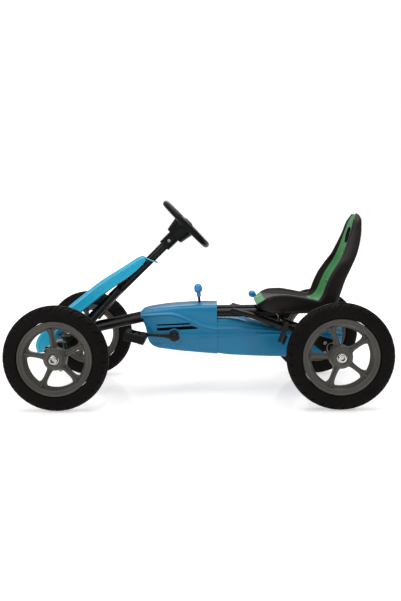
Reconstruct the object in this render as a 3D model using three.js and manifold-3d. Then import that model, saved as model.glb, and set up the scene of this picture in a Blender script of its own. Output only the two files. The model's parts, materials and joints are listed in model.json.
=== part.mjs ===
// Pedal go-kart for small children, in millimetres.
// +X points to the rear, +Y to the driver's right, +Z up.
// The origin is on the ground, midway between the axles and between the wheels.
import * as THREE from 'three';
import { mergeVertices } from 'three/addons/utils/BufferGeometryUtils.js';
import Module from 'manifold-3d';

const wasm = await Module();
wasm.setup();

// ---------------------------------------------------------------- driving dimensions
const GAP = 0.3;
const WHEEL_R = 152.5;
const TYRE_W = 52;
const BEAD_R = 108.3;
const FACETS = 32;
const AXLE_X = 404;
const FRONT_Y = 260;
const REAR_Y = 265;
const HUB_IN = 24;
const HUB_OUT = 30;
const SPINDLE_R = 8;
const HUB_BORE_R = 8.5;
const FRONT_SPOKE_DEG = 26;
const REAR_SPOKE_DEG = 34;

const RAIL_Y = 62;
const RAIL_R = 12.5;
const RAIL_Z = 256.5;
const RAIL_END_X = 238;

const BEAM_Z = 156;
const BEAM_R = 14;
const KINGPIN_Y = 205;
const YOKE_TOP = 191;
const YOKE_BOTTOM = 114;
const YOKE_T = 4.5;
const ARM_X = -446;
const ARM_Y = 198;
const ARM_Z = 160;

const WHEEL_CENTRE = { x: -38, z: 533 };
const COLUMN_DEG = 43.5;
const COLUMN_R = 14;
const COLUMN_TOP = -98.3;
const COLUMN_BOTTOM = -440;
const SHAFT_R = 6;
const SHAFT_END = -546;
const PITMAN_S = -538;
const PITMAN_REACH = 26;
const STEER_RIM_R = 90;
const STEER_TUBE_R = 10;

const CRANK = { x: -76, z: 188.5 };
const CRANK_LENGTH = 113;
const CRANK_DEG = 176;
const CRANK_AXLE_R = 8;
const CRANK_ARM_Y = 92;
const PEDAL_Y = 145;
const CHAIN_Y = 30;
const PITCH = 12.7;
const CHAINWHEEL_TEETH = 16;
const SPROCKET_TEETH = 12;
const CHAIN_HALF = 3.9;

const STAY_R = 9;
const CARRIER_Y = 117.3;
const CARRIER_T = 6;

const SHELL_T = 3;
const SEAM_X = 57;
const REAR_WALL_X = 446;

const SHIFT = { x: 3, z: 262 };
const BRAKE = { x: 254, z: 241 };
const BRAKE_LEVER_Y = 168;
const BRAKE_LEVER = { x: -65, z: 46 };
const HANGER = { x: -20, z: -45 };

const deg = THREE.MathUtils.degToRad;
const pitchRadius = (teeth) => PITCH / (2 * Math.sin(Math.PI / teeth));

// ---------------------------------------------------------------- materials
function finish(color, roughness, metalness) {
  return () => new THREE.MeshStandardMaterial({ color, roughness, metalness });
}
const blackPaint = finish(0x141312, 0.35, 0.3);
const bluePlastic = finish(0x3a97c6, 0.3, 0);
const noseBlue = finish(0x2fa9cc, 0.3, 0);
const tyreRubber = finish(0x1a1716, 0.85, 0);
const rimPlastic = finish(0x5f5c57, 0.55, 0);
const darkPlastic = finish(0x1d1c18, 0.5, 0);
const seatPlastic = finish(0x2c4a33, 0.5, 0);
const steel = finish(0x9a9a98, 0.35, 1);
const chrome = finish(0xd0d0d0, 0.12, 1);
const rubber = finish(0x20201e, 0.9, 0);

// ---------------------------------------------------------------- solids
function solid(geometry) {
  const bare = geometry.clone();
  bare.deleteAttribute('normal');
  bare.deleteAttribute('uv');
  const merged = mergeVertices(bare, 1e-4);
  const mesh = new wasm.Mesh({
    numProp: 3,
    vertProperties: new Float32Array(merged.attributes.position.array),
    triVerts: new Uint32Array(merged.index.array),
  });
  return new wasm.Manifold(mesh);
}

function join(first, ...others) {
  return others.reduce((sum, other) => sum.add(solid(other)), solid(first));
}

function cut(body, ...tools) {
  const start = body.isBufferGeometry ? solid(body) : body;
  return tools.reduce((rest, tool) => rest.subtract(solid(tool)), start);
}

function geometryOf(shape) {
  if (shape.isBufferGeometry) return shape;
  const mesh = shape.getMesh();
  const geometry = new THREE.BufferGeometry();
  geometry.setAttribute('position', new THREE.BufferAttribute(new Float32Array(mesh.vertProperties), 3));
  geometry.setIndex(new THREE.BufferAttribute(new Uint32Array(mesh.triVerts), 1));
  const flat = geometry.toNonIndexed();
  flat.computeVertexNormals();
  return flat;
}

const kart = new THREE.Group();

function add(name, shape, material, parent = kart) {
  const mesh = new THREE.Mesh(geometryOf(shape), material());
  mesh.name = name;
  parent.add(mesh);
  return mesh;
}

// ---------------------------------------------------------------- shape helpers
const point = (x, y, z) => new THREE.Vector3(x, y, z);

// A round bar between two points.
function rod(from, to, radius, sides = 12) {
  const along = to.clone().sub(from);
  const geometry = new THREE.CylinderGeometry(radius, radius, along.length(), sides);
  const turn = new THREE.Quaternion().setFromUnitVectors(point(0, 1, 0), along.clone().normalize());
  geometry.applyQuaternion(turn);
  const middle = from.clone().add(to).multiplyScalar(0.5);
  return geometry.translate(middle.x, middle.y, middle.z);
}

// A round bar across the kart, along Y.
function crossBar(x, z, yLow, yHigh, radius, sides = 16) {
  return rod(point(x, yLow, z), point(x, yHigh, z), radius, sides);
}

// A solid of revolution about Y from [radius, y] pairs, moved to its axle.
function turned(profile, x, y, z, sides = 24) {
  const points = profile.map(([r, h]) => new THREE.Vector2(r, h));
  if (THREE.ShapeUtils.isClockWise(points)) points.reverse();
  return new THREE.LatheGeometry(points, sides).translate(x, y, z);
}

// The same, about the vertical.
function turnedUp(profile, x, y, z, sides = 16) {
  return turned(profile, 0, 0, 0, sides).rotateX(Math.PI / 2).translate(x, y, z);
}

function ring(inner, outer, low, high) {
  return [[inner, low], [outer, low], [outer, high], [inner, high], [inner, low]];
}

// A flat plate cut from an outline in the X-Z plane, between two values of Y.
function plateXZ(shape, yLow, yHigh, curveSegments = 12) {
  const settings = { depth: yHigh - yLow, bevelEnabled: false, curveSegments };
  return new THREE.ExtrudeGeometry(shape, settings).rotateX(Math.PI / 2).translate(0, yHigh, 0);
}

// A flat plate cut from an outline in the X-Y plane, between two heights.
function plateXY(shape, zLow, zHigh, curveSegments = 12) {
  const settings = { depth: zHigh - zLow, bevelEnabled: false, curveSegments };
  return new THREE.ExtrudeGeometry(shape, settings).translate(0, 0, zLow);
}

// A bar of Y-Z section, along X.
function barX(pairs, xLow, xHigh) {
  const shape = outline(pairs);
  const settings = { depth: xHigh - xLow, bevelEnabled: false };
  const geometry = new THREE.ExtrudeGeometry(shape, settings);
  geometry.rotateX(Math.PI / 2).rotateZ(Math.PI / 2);
  return geometry.translate(xLow, 0, 0);
}

function outline(pairs) {
  return new THREE.Shape(pairs.map(([a, b]) => new THREE.Vector2(a, b)));
}

function hole(x, y, radius) {
  return new THREE.Path().absarc(x, y, radius, 0, 2 * Math.PI, true);
}

// Two round ends joined by their outer tangents.
function strapShape(a, b, holes = []) {
  const dx = b.x - a.x;
  const dy = b.y - a.y;
  const length = Math.hypot(dx, dy);
  const lean = Math.atan2(dy, dx);
  const spread = Math.acos((a.r - b.r) / length);
  const shape = new THREE.Shape();
  shape.absarc(b.x, b.y, b.r, lean - spread, lean + spread, false);
  shape.absarc(a.x, a.y, a.r, lean + spread, lean - spread + 2 * Math.PI, false);
  shape.holes = holes;
  return shape;
}

// A round tube along a bent centreline; wall = 0 makes a solid bar.
function bentTube(points, radius, steps, wall = 0) {
  const curve = new THREE.CatmullRomCurve3(points, false, 'centripetal');
  const section = new THREE.Shape().absarc(0, 0, radius, 0, 2 * Math.PI, false);
  if (wall > 0) section.holes.push(hole(0, 0, radius - wall));
  return new THREE.ExtrudeGeometry(section, { steps, extrudePath: curve, curveSegments: 6 });
}

// A skin between two matching rows of points, repeated along a body.
// Each station is { outer, inner }, two lists of the same length.
function skin(stations) {
  const loops = stations.map(({ outer, inner }) => [...outer, ...inner.slice().reverse()]);
  const count = loops[0].length;
  const half = count / 2;
  const positions = loops.flat().flatMap((p) => [p.x, p.y, p.z]);
  const index = [];
  for (let s = 0; s + 1 < loops.length; s += 1) {
    for (let i = 0; i < count; i += 1) {
      const a = s * count + i;
      const b = s * count + ((i + 1) % count);
      index.push(a, b, b + count, a, b + count, a + count);
    }
  }
  for (let i = 0; i + 1 < half; i += 1) {
    const [a, b, c, d] = [i, i + 1, count - 2 - i, count - 1 - i];
    index.push(a, c, b, a, d, c);
    const last = (loops.length - 1) * count;
    index.push(last + a, last + b, last + c, last + a, last + c, last + d);
  }
  const geometry = new THREE.BufferGeometry();
  geometry.setAttribute('position', new THREE.BufferAttribute(new Float32Array(positions), 3));
  geometry.setIndex(index);
  const body = solid(geometry.toNonIndexed());
  if (body.volume() > 0) return body;
  geometry.setIndex(index.map((_, k) => index[k - (k % 3) + [0, 2, 1][k % 3]]));
  return solid(geometry.toNonIndexed());
}

// ---------------------------------------------------------------- frame
function railPath(side) {
  const route = [
    [-420, 183], [-386, 186], [-345, 206], [-310, 214.5], [-183, 240.5], [-128, 251], [-92, 256],
    [-60, RAIL_Z], [RAIL_END_X, RAIL_Z],
  ];
  return route.map(([x, z]) => point(x, side * RAIL_Y, z));
}

function buildFrame() {
  const cup = { outer: 19.5, bearing: 16 };
  for (const [side, word] of [[-1, 'left'], [1, 'right']]) {
    add(`frame_rail_${word}`, bentTube(railPath(side), RAIL_R, 20, 2), blackPaint);

    // Plate and bearing cup that carry the pedal crank under the rail.
    const plate = strapShape({ x: CRANK.x, y: CRANK.z, r: 24 }, { x: CRANK.x + 6, y: 219, r: 24 });
    plate.holes = [hole(CRANK.x, CRANK.z, cup.bearing + GAP)];
    const [near, far] = [side * 58, side * 64].sort((a, b) => a - b);
    const cupRing = turned(ring(cup.bearing + GAP, cup.outer, -8, 8), CRANK.x, side * 61, CRANK.z);
    const hanger = join(plateXZ(plate, near, far), cupRing);
    add(`crank_hanger_${word}`, hanger, blackPaint);
    const bearing = ring(CRANK_AXLE_R + GAP, cup.bearing, -6, 6);
    add(`crank_bearing_${word}`, turned(bearing, CRANK.x, side * 61, CRANK.z), steel);

    // Bent stay from the rail down to the rear axle, with its bearing carrier plate.
    const stay = [
      point(104, side * 82, 266), point(181, side * 88, 244), point(276, side * 103, 211),
      point(330, side * 107.5, 190), point(368, side * 107.8, 174),
    ];
    const carrier = strapShape({ x: AXLE_X, y: WHEEL_R, r: 27 }, { x: 342, y: 184, r: 13 });
    carrier.holes = [hole(AXLE_X, WHEEL_R, 17.5 + GAP)];
    const [inner, outer] = [side * (CARRIER_Y - 1), side * (CARRIER_Y + CARRIER_T)].sort((a, b) => a - b);
    const lug = strapShape({ x: BRAKE.x, y: BRAKE.z, r: 11 }, { x: BRAKE.x, y: 222, r: 7 });
    lug.holes = [hole(BRAKE.x, BRAKE.z, 6.5)];
    const [lugIn, lugOut] = [side * 98, side * 102].sort((a, b) => a - b);
    const built = join(bentTube(stay, STAY_R, 12), plateXZ(carrier, inner, outer), plateXZ(lug, lugIn, lugOut));
    add(`rear_stay_${word}`, built, blackPaint);
    const race = ring(SPINDLE_R + GAP, 17.5, -5.5, 5.5);
    add(`axle_bearing_${word}`, turned(race, AXLE_X, side * (CARRIER_Y + 3), WHEEL_R), steel);
  }

  const tie = crossBar(206, RAIL_Z, -RAIL_Y + RAIL_R + GAP, RAIL_Y - RAIL_R - GAP, 10);
  add('frame_cross_tube', tie, blackPaint);
  add('front_beam', frontBeam(), blackPaint);
}

// Front axle beam with a welded fork at each end for the kingpin.
function frontBeam() {
  const forkIn = KINGPIN_Y - 27;
  const forkOut = KINGPIN_Y + 12;
  const beam = crossBar(-AXLE_X, BEAM_Z, -forkIn - 1, forkIn + 1, BEAM_R);
  const forks = [-1, 1].map((side) => barX([
    [side * forkIn, YOKE_BOTTOM], [side * forkOut, YOKE_BOTTOM],
    [side * forkOut, YOKE_BOTTOM + YOKE_T], [side * (forkIn + 5), YOKE_BOTTOM + YOKE_T],
    [side * (forkIn + 5), YOKE_TOP - YOKE_T], [side * forkOut, YOKE_TOP - YOKE_T],
    [side * forkOut, YOKE_TOP], [side * forkIn, YOKE_TOP],
  ], -AXLE_X - 13, -AXLE_X + 13));
  const bores = [-1, 1].map((side) => rod(
    point(-AXLE_X, side * KINGPIN_Y, YOKE_BOTTOM - 5),
    point(-AXLE_X, side * KINGPIN_Y, YOKE_TOP + 5), 5 + GAP, 16));
  return cut(join(beam, ...forks), ...bores);
}

// ---------------------------------------------------------------- steering column, in its own tilted frame
// Local Z runs up the column to the driver and local -X points up and forward.
function columnGroup() {
  const group = new THREE.Group();
  group.position.set(WHEEL_CENTRE.x, 0, WHEEL_CENTRE.z);
  group.rotation.y = Math.PI / 2 - deg(COLUMN_DEG);
  kart.add(group);
  return group;
}

function columnPoint(s) {
  return point(
    WHEEL_CENTRE.x + s * Math.cos(deg(COLUMN_DEG)), 0,
    WHEEL_CENTRE.z + s * Math.sin(deg(COLUMN_DEG)));
}

function buildColumn() {
  const group = columnGroup();
  const bore = SHAFT_R + GAP + 0.1;
  const tube = ring(COLUMN_R - 2.5, COLUMN_R, COLUMN_BOTTOM, COLUMN_TOP);
  add('column_tube', turnedUp(tube, 0, 0, 0), blackPaint, group);
  const collar = ring(bore, 19.5, COLUMN_TOP + GAP, -88.6);
  add('column_collar', turnedUp(collar, 0, 0, 0, 20), darkPlastic, group);
  const bush = ring(bore, COLUMN_R - 2.5 - GAP, COLUMN_BOTTOM, COLUMN_BOTTOM + 14);
  add('column_bush', turnedUp(bush, 0, 0, 0), darkPlastic, group);

  // Shaft with the welded pitman plate that pushes the two tie rods.
  const shaft = rod(point(0, 0, SHAFT_END), point(0, 0, -52), SHAFT_R, 16);
  const pitman = outline([
    [4, -11], [11, -4], [11, 4], [4, 11], [-4, 13],
    [-PITMAN_REACH - 9, 23], [-PITMAN_REACH - 9, -23], [-4, -13],
  ]);
  const plate = plateXY(pitman, PITMAN_S - 2.5, PITMAN_S + 2.5);
  add('steering_shaft', join(shaft, plate), blackPaint, group);
  add('steering_wheel', steeringWheel(), darkPlastic, group);

  // Two legs carry the column down to the rails.
  for (const [side, word] of [[-1, 'left'], [1, 'right']]) {
    const top = columnPoint(-296).add(point(0, side * 24.5, 0));
    const foot = point(-338, side * 60.5, 232.5);
    add(`column_leg_${word}`, rod(top, foot, 10), blackPaint);
  }
}

function steeringWheel() {
  const rim = new THREE.TorusGeometry(STEER_RIM_R, STEER_TUBE_R, 10, 32);
  const hub = turnedUp([
    [0, 7], [24, 6], [38, -2], [37, -15], [31, -50], [18, -54], [19.5, -86], [19.5, -88.3],
    [SHAFT_R + GAP, -88.3], [SHAFT_R + GAP, -51], [0, -51],
  ], 0, 0, 0, 24);
  const spokes = [0, 120, 240].map((angle) => {
    const spoke = new THREE.BoxGeometry(STEER_RIM_R - 24, 26, 9);
    return spoke.translate((STEER_RIM_R + 28) / 2, 0, -4).rotateZ(deg(angle));
  });
  return join(hub, rim, ...spokes);
}

// ---------------------------------------------------------------- wheels
function tyre() {
  const half = TYRE_W / 2;
  const crown = WHEEL_R / Math.cos(Math.PI / FACETS);
  const bead = BEAD_R + 0.9;
  const profile = [
    [bead, -half + 5], [bead + 12, -half], [crown - 16, -half], [crown, -half + 14],
    [crown, half - 14], [crown - 16, half], [bead + 12, half], [bead, half - 5], [bead, -half + 5],
  ];
  return turned(profile, 0, 0, 0, FACETS).rotateY(Math.PI / FACETS);
}

function rim(keyed) {
  const barrel = turned([
    [83, -17], [BEAD_R - GAP, -21], [BEAD_R - GAP, 21], [83, 17], [83, -17],
  ], 0, 0, 0, FACETS).rotateY(Math.PI / FACETS);
  const hub = turned([
    [HUB_BORE_R, -HUB_IN], [22, -HUB_IN], [22, -8], [33, -8], [33, 20], [26, HUB_OUT],
    [HUB_BORE_R, HUB_OUT], [HUB_BORE_R, -HUB_IN],
  ], 0, 0, 0);
  const spokes = [0, 1, 2, 3, 4].map((k) => {
    const spoke = new THREE.BoxGeometry(60, 14, 18);
    return spoke.translate(58, 2, 0).rotateY(deg(-72 * k));
  });
  const wheel = join(barrel, hub, ...spokes);
  if (!keyed) return wheel;
  const slot = new THREE.BoxGeometry(48, 8, 7).translate(0, -HUB_IN, 0);
  return cut(wheel, slot);
}

function buildWheel(name, x, side, trackY, spokeDeg, keyed = false) {
  const group = new THREE.Group();
  group.position.set(x, side * trackY, WHEEL_R);
  group.rotation.z = side < 0 ? Math.PI : 0;
  kart.add(group);
  add(`tyre_${name}`, tyre(), tyreRubber, group);
  const spokes = add(`rim_${name}`, rim(keyed), rimPlastic, group);
  spokes.rotation.y = deg(side < 0 ? spokeDeg - 180 : -spokeDeg);
  const cap = [[0, HUB_OUT + GAP], [13, HUB_OUT + GAP], [13, 37], [10, 40], [0, 40]];
  add(`axle_nut_${name}`, turned(cap, 0, 0, 0, 18), chrome, group);
}

function buildFrontEnd() {
  for (const [side, word] of [[-1, 'left'], [1, 'right']]) {
    const y = side * KINGPIN_Y;
    const pin = [
      [0, 104], [5, 104], [5, 107], [8.5, 107], [8.5, YOKE_BOTTOM - GAP], [5, YOKE_BOTTOM - GAP],
      [5, YOKE_TOP + GAP], [9, YOKE_TOP + GAP], [9, YOKE_TOP + 7], [0, YOKE_TOP + 7],
    ];
    add(`kingpin_${word}`, turnedUp(pin, -AXLE_X, y, 0), steel);
    add(`steering_knuckle_${word}`, knuckle(side), blackPaint);
    add(`tie_rod_${word}`, tieRod(side), blackPaint);
    buildWheel(`front_${word}`, -AXLE_X, side, FRONT_Y, FRONT_SPOKE_DEG);
  }
}

// Kingpin sleeve, stub axle, and the forward arm with its tie-rod pin.
function knuckle(side) {
  const y = side * KINGPIN_Y;
  const sleeve = rod(
    point(-AXLE_X, y, YOKE_BOTTOM + YOKE_T + GAP), point(-AXLE_X, y, YOKE_TOP - YOKE_T - GAP), 12, 20);
  const stub = crossBar(-AXLE_X, WHEEL_R, ...[y, side * (FRONT_Y + HUB_OUT)].sort((a, b) => a - b), SPINDLE_R);
  const shoulder = crossBar(
    -AXLE_X, WHEEL_R, ...[y, side * (FRONT_Y - HUB_IN - 0.5)].sort((a, b) => a - b), 12.5);
  const arm = plateXY(
    strapShape({ x: -AXLE_X, y, r: 12 }, { x: ARM_X, y: side * ARM_Y, r: 7 }), ARM_Z, ARM_Z + 6);
  const pin = turnedUp([
    [0, ARM_Z + 3], [3, ARM_Z + 3], [3, ARM_Z + 12.3], [5.5, ARM_Z + 12.3], [5.5, ARM_Z + 16],
    [0, ARM_Z + 16],
  ], ARM_X, side * ARM_Y, 0, 12);
  const bore = rod(point(-AXLE_X, y, 100), point(-AXLE_X, y, 205), 5 + GAP, 16);
  return cut(join(sleeve, stub, shoulder, arm, pin), bore);
}

// Rod with a flat eye on the knuckle and a tilted eye that lies on the pitman plate.
function tieRod(side) {
  const eyeZ = ARM_Z + 9.2;
  const outer = turnedUp(ring(3 + GAP + 0.1, 9, -2.6, 2.6), ARM_X, side * ARM_Y, eyeZ, 16);
  const lean = Math.PI / 2 - deg(COLUMN_DEG);
  const inner = turnedUp([
    [0, PITMAN_S + 3], [9, PITMAN_S + 3], [9, PITMAN_S + 8], [5, PITMAN_S + 8], [5, PITMAN_S + 12],
    [0, PITMAN_S + 12],
  ], -PITMAN_REACH, side * 12.5, 0, 16);
  inner.rotateY(lean).translate(WHEEL_CENTRE.x, 0, WHEEL_CENTRE.z);
  const box = new THREE.Box3().setFromBufferAttribute(inner.attributes.position);
  const seat = box.getCenter(new THREE.Vector3());
  const bar = rod(
    point(ARM_X, side * (ARM_Y - 7), eyeZ), point(seat.x + 1, side * 20, seat.z + 1), 3, 10);
  return join(outer, inner, bar);
}

function buildRearEnd() {
  const axle = crossBar(AXLE_X, WHEEL_R, -REAR_Y - HUB_OUT, REAR_Y + HUB_OUT, SPINDLE_R);
  const reach = 20;
  const [dx, dz] = [reach * Math.cos(deg(REAR_SPOKE_DEG)), reach * Math.sin(deg(REAR_SPOKE_DEG))];
  const y = REAR_Y - HUB_IN;
  const pin = rod(point(AXLE_X - dx, y, WHEEL_R - dz), point(AXLE_X + dx, y, WHEEL_R + dz), 2.8, 10);
  add('rear_axle', join(axle, pin), steel);
  const teethDisc = turned(
    ring(SPINDLE_R + GAP, pitchRadius(SPROCKET_TEETH) - CHAIN_HALF - 0.4, -1.5, 1.5), AXLE_X, CHAIN_Y, WHEEL_R, 24);
  const boss = turned(ring(SPINDLE_R + GAP, 14, -9, 9), AXLE_X, CHAIN_Y, WHEEL_R);
  add('rear_sprocket', join(teethDisc, boss), steel);
  buildWheel('rear_left', AXLE_X, -1, REAR_Y, REAR_SPOKE_DEG);
  buildWheel('rear_right', AXLE_X, 1, REAR_Y, REAR_SPOKE_DEG, true);
}

// ---------------------------------------------------------------- drive
function buildDrive() {
  const reach = CRANK_ARM_Y + 7;
  add('crank_axle', crossBar(CRANK.x, CRANK.z, -reach, reach, CRANK_AXLE_R), steel);
  const front = pitchRadius(CHAINWHEEL_TEETH);
  const rear = pitchRadius(SPROCKET_TEETH);
  const disc = turned(ring(CRANK_AXLE_R + GAP, front - CHAIN_HALF - 0.4, -1.5, 1.5), CRANK.x, CHAIN_Y, CRANK.z, 28);
  const boss = turned(ring(CRANK_AXLE_R + GAP, 14, -9, 9), CRANK.x, CHAIN_Y, CRANK.z);
  add('chainwheel', join(disc, boss), steel);

  for (const [side, word, turn] of [[-1, 'left', 0], [1, 'right', 180]]) {
    const angle = deg(CRANK_DEG + turn);
    const tip = { x: CRANK.x + CRANK_LENGTH * Math.cos(angle), y: CRANK.z + CRANK_LENGTH * Math.sin(angle), r: 9 };
    const arm = strapShape({ x: CRANK.x, y: CRANK.z, r: 15 }, tip);
    arm.holes = [hole(CRANK.x, CRANK.z, CRANK_AXLE_R + GAP)];
    const [low, high] = [side * (CRANK_ARM_Y - 5), side * (CRANK_ARM_Y + 5)].sort((a, b) => a - b);
    const spindle = crossBar(tip.x, tip.y, ...[side * CRANK_ARM_Y, side * (PEDAL_Y + 36)].sort((a, b) => a - b), 5, 12);
    add(`crank_arm_${word}`, join(plateXZ(arm, low, high), spindle), blackPaint);
    add(`pedal_${word}`, pedal(side, tip), darkPlastic);
  }

  const loop = chainShape(front + CHAIN_HALF, rear + CHAIN_HALF);
  loop.holes = [chainShape(front - CHAIN_HALF, rear - CHAIN_HALF)];
  add('chain', plateXZ(loop, CHAIN_Y - 4, CHAIN_Y + 4, 14), steel);
}

function chainShape(frontR, rearR) {
  return strapShape({ x: CRANK.x, y: CRANK.z, r: frontR }, { x: AXLE_X, y: WHEEL_R, r: rearR });
}

// Pedal platform with a bore for its spindle, tilted toe-up.
function pedal(side, tip) {
  const tilt = deg(-14);
  const block = outline([
    [-33, -8], [-29, -15], [29, -15], [34, -8], [34, 8], [29, 14], [-29, 14], [-33, 8],
  ]);
  const [low, high] = [side * (PEDAL_Y - 38), side * (PEDAL_Y + 40)].sort((a, b) => a - b);
  const body = plateXZ(block, low, high);
  const bore = crossBar(0, 0, ...[side * (PEDAL_Y - 45), side * (PEDAL_Y + 36.8)].sort((a, b) => a - b), 5 + GAP + 0.1, 12);
  return geometryOf(cut(body, bore)).rotateY(-tilt).translate(tip.x, 0, tip.y);
}

// ---------------------------------------------------------------- blue body shells
// Half a section: top centre, top edge, shoulder, ridge, lower step, bottom edge, bottom centre.
function shellStation(side, x, top, ridge, bottom, wide) {
  const half = (t) => {
    const [w, up, down] = [wide - t, top - t, bottom + t];
    return [
      [0, up], [w - 18, up - 2], [w - 4, Math.max(top - 14, ridge + 1)], [w, ridge],
      [w - 3, (ridge + bottom) / 2], [w - 16, down], [0, down],
    ].map(([y, z]) => point(x, side * y, z));
  };
  return { outer: shift(half(0), side), inner: shift(half(SHELL_T), side) };
}

// Keeps a hairline between the two halves at the centre plane.
function shift(points, side) {
  points[0].y = side * GAP / 2;
  points[points.length - 1].y = side * GAP / 2;
  return points;
}

function buildShells() {
  const frontStations = [
    [-180, 265, 250, 219, 80], [-168, 270, 252, 212, 82], [-159, 272, 252, 180, 83],
    [-143, 274.5, 252, 156, 84], [-121, 278, 252, 147, 84], [-68, 282.5, 250, 142, 84],
    [-5, 286, 226, 138, 84], [SEAM_X - 2, 287, 208, 132, 83],
  ];
  const rearStations = [
    [SEAM_X, 243, 208, 131.8, 81], [119, 240, 208, 127, 79], [168, 225, 207, 123.5, 76],
    [211, 214, 196, 121, 72], [256, 203, 186, 119, 67], [300, 204, 180, 119, 64],
    [343, 211, 178, 119, 62], [426, 211, 176, 119.5, 60], [REAR_WALL_X, 207, 184, 158, 57],
  ];
  for (const [side, word] of [[-1, 'left'], [1, 'right']]) {
    const front = skin(frontStations.map((row) => shellStation(side, ...row)));
    const axleHole = crossBar(CRANK.x, CRANK.z, -120, 120, 17, 20);
    const leverSlot = new THREE.BoxGeometry(56, 16, 40).translate(SHIFT.x - 2, 0, 285);
    const railRoom = bentTube(railPath(side), RAIL_R + 1, 20);
    add(`front_shell_${word}`, cut(front, axleHole, leverSlot, railRoom), bluePlastic);

    const rear = skin(rearStations.map((row) => shellStation(side, ...row)));
    const rearHole = crossBar(AXLE_X, WHEEL_R, -120, 120, 13, 20);
    const rim = shellStation(side, ...rearStations[rearStations.length - 1]).outer;
    const wall = barX(rim.map((p) => [p.y, p.z]), REAR_WALL_X - SHELL_T, REAR_WALL_X);
    add(`rear_shell_${word}`, cut(rear.add(solid(wall)), rearHole), bluePlastic);
  }
}

// ---------------------------------------------------------------- nose panel
// A channel that runs from the column down over the front beam.
// Each station: top centre x and z, direction of the walls in degrees, wall depth, half width.
function buildNose() {
  const rows = [
    [-186, 433.6, -62, 34, 24], [-222, 412, -57, 40, 32], [-262, 388, -54, 42, 39], [-309, 359, -53, 38, 44],
    [-368, 315, -52, 38, 49], [-426, 269, -48, 34, 54], [-466, 233, -42, 33, 57], [-500, 199, -30, 48, 58],
    [-517, 172, -10, 62, 58], [-521, 154, -2, 66, 57], [-517, 134, 3, 58, 54],
  ];
  const stations = rows.map(([x, z, angle, depth, wide]) => {
    const row = (t) => {
      const at = (y, d) => point(x + Math.cos(deg(angle)) * d, y, z + Math.sin(deg(angle)) * d);
      const w = wide - t;
      const left = [at(-w, depth), at(-w, 9), at(-w + 9, t), at(0, t)];
      const right = [at(w - 9, t), at(w, 9), at(w, depth)];
      return [...left, ...right];
    };
    return { outer: row(0), inner: row(SHELL_T) };
  });
  add('nose_panel', skin(stations), noseBlue);
}

// ---------------------------------------------------------------- seat
// Each station: crest x and z, back or underside x and z, half width, hollow depth, bolster width.
function buildSeat() {
  const rows = [
    [178, 286, 182, 276, 108, 2, 16], [192, 298, 197, 269, 135, 6, 18], [210, 310, 214, 265, 147, 11, 20],
    [234, 317, 236, 262.5, 150, 16, 22], [264, 318, 264, 262, 150, 18, 22], [304, 312, 302, 262, 150, 18, 22],
    [336, 305, 338, 262, 150, 17, 22], [358, 300, 384, 268, 150, 18, 24], [371, 313, 414, 287, 150, 24, 26],
    [381, 338, 428, 322, 149, 28, 28], [394, 367, 441, 358, 147, 28, 28], [416, 402, 463, 402, 139, 28, 28],
    [437, 433, 481, 438, 122, 25, 28], [453, 468, 493, 474, 102, 20, 26], [466, 501, 500, 506, 85, 14, 22],
    [478, 538, 503, 538, 66, 8, 18], [490, 559, 499, 554, 40, 3, 12],
  ];
  const stations = rows.map(([ex, ez, bx, bz, wide, hollow, bolster], k) => {
    const length = Math.hypot(ex - bx, ez - bz);
    const step = Math.min(12, length * 0.4);
    const lift = k > 1 && k < 8 ? 24 : 0.5;
    const at = (y, n) => point(bx + ((ex - bx) * n) / length, y, bz + ((ez - bz) * n) / length);
    const channel = 96;
    const flank = Math.min(wide - step - 2, channel + 8);
    const mid = Math.min(flank - 4, channel);
    const outer = [
      at(-wide, length), at(-wide, step), at(-wide + step, 0), at(-flank, 0), at(-mid, lift),
      at(mid, lift), at(flank, 0), at(wide - step, 0), at(wide, step), at(wide, length),
    ];
    const floor = Math.max(length - hollow, lift + 4);
    const edge = wide - bolster;
    const dish = Math.max(edge - 22, 6);
    const inner = [
      at(-edge, length), at(-edge + 4, length - hollow * 0.35), at(-dish, floor + 1), at(-dish * 0.6, floor),
      at(-dish * 0.2, floor), at(dish * 0.2, floor), at(dish * 0.6, floor), at(dish, floor + 1),
      at(edge - 4, length - hollow * 0.35), at(edge, length),
    ];
    return { outer, inner };
  });
  const handle = new THREE.BoxGeometry(90, 62, 50).rotateY(deg(12)).translate(480, 0, 491);
  add('seat', cut(skin(stations), handle), seatPlastic);

  // Channel that slides along the rails, and the knob that clamps it.
  const low = RAIL_Z + RAIL_R + GAP;
  const top = 285.7;
  const outer = RAIL_Y + RAIL_R + 3.5;
  const channel = barX([
    [-outer, low - 16], [-outer, top], [outer, top], [outer, low - 16], [outer - 3, low - 16],
    [outer - 3, low], [outer - 24, low], [outer - 24, top - 3], [-outer + 24, top - 3], [-outer + 24, low],
    [-outer + 3, low], [-outer + 3, low - 16],
  ], 224, 334);
  add('seat_bracket', channel, blackPaint);
  const knob = turnedUp([[0, 252], [17, 252], [17, 266], [9, 269], [4, 272], [4, 282.3], [0, 282.3]], 280, 0, 0, 12);
  add('seat_clamp_knob', knob, darkPlastic);
}

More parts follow.
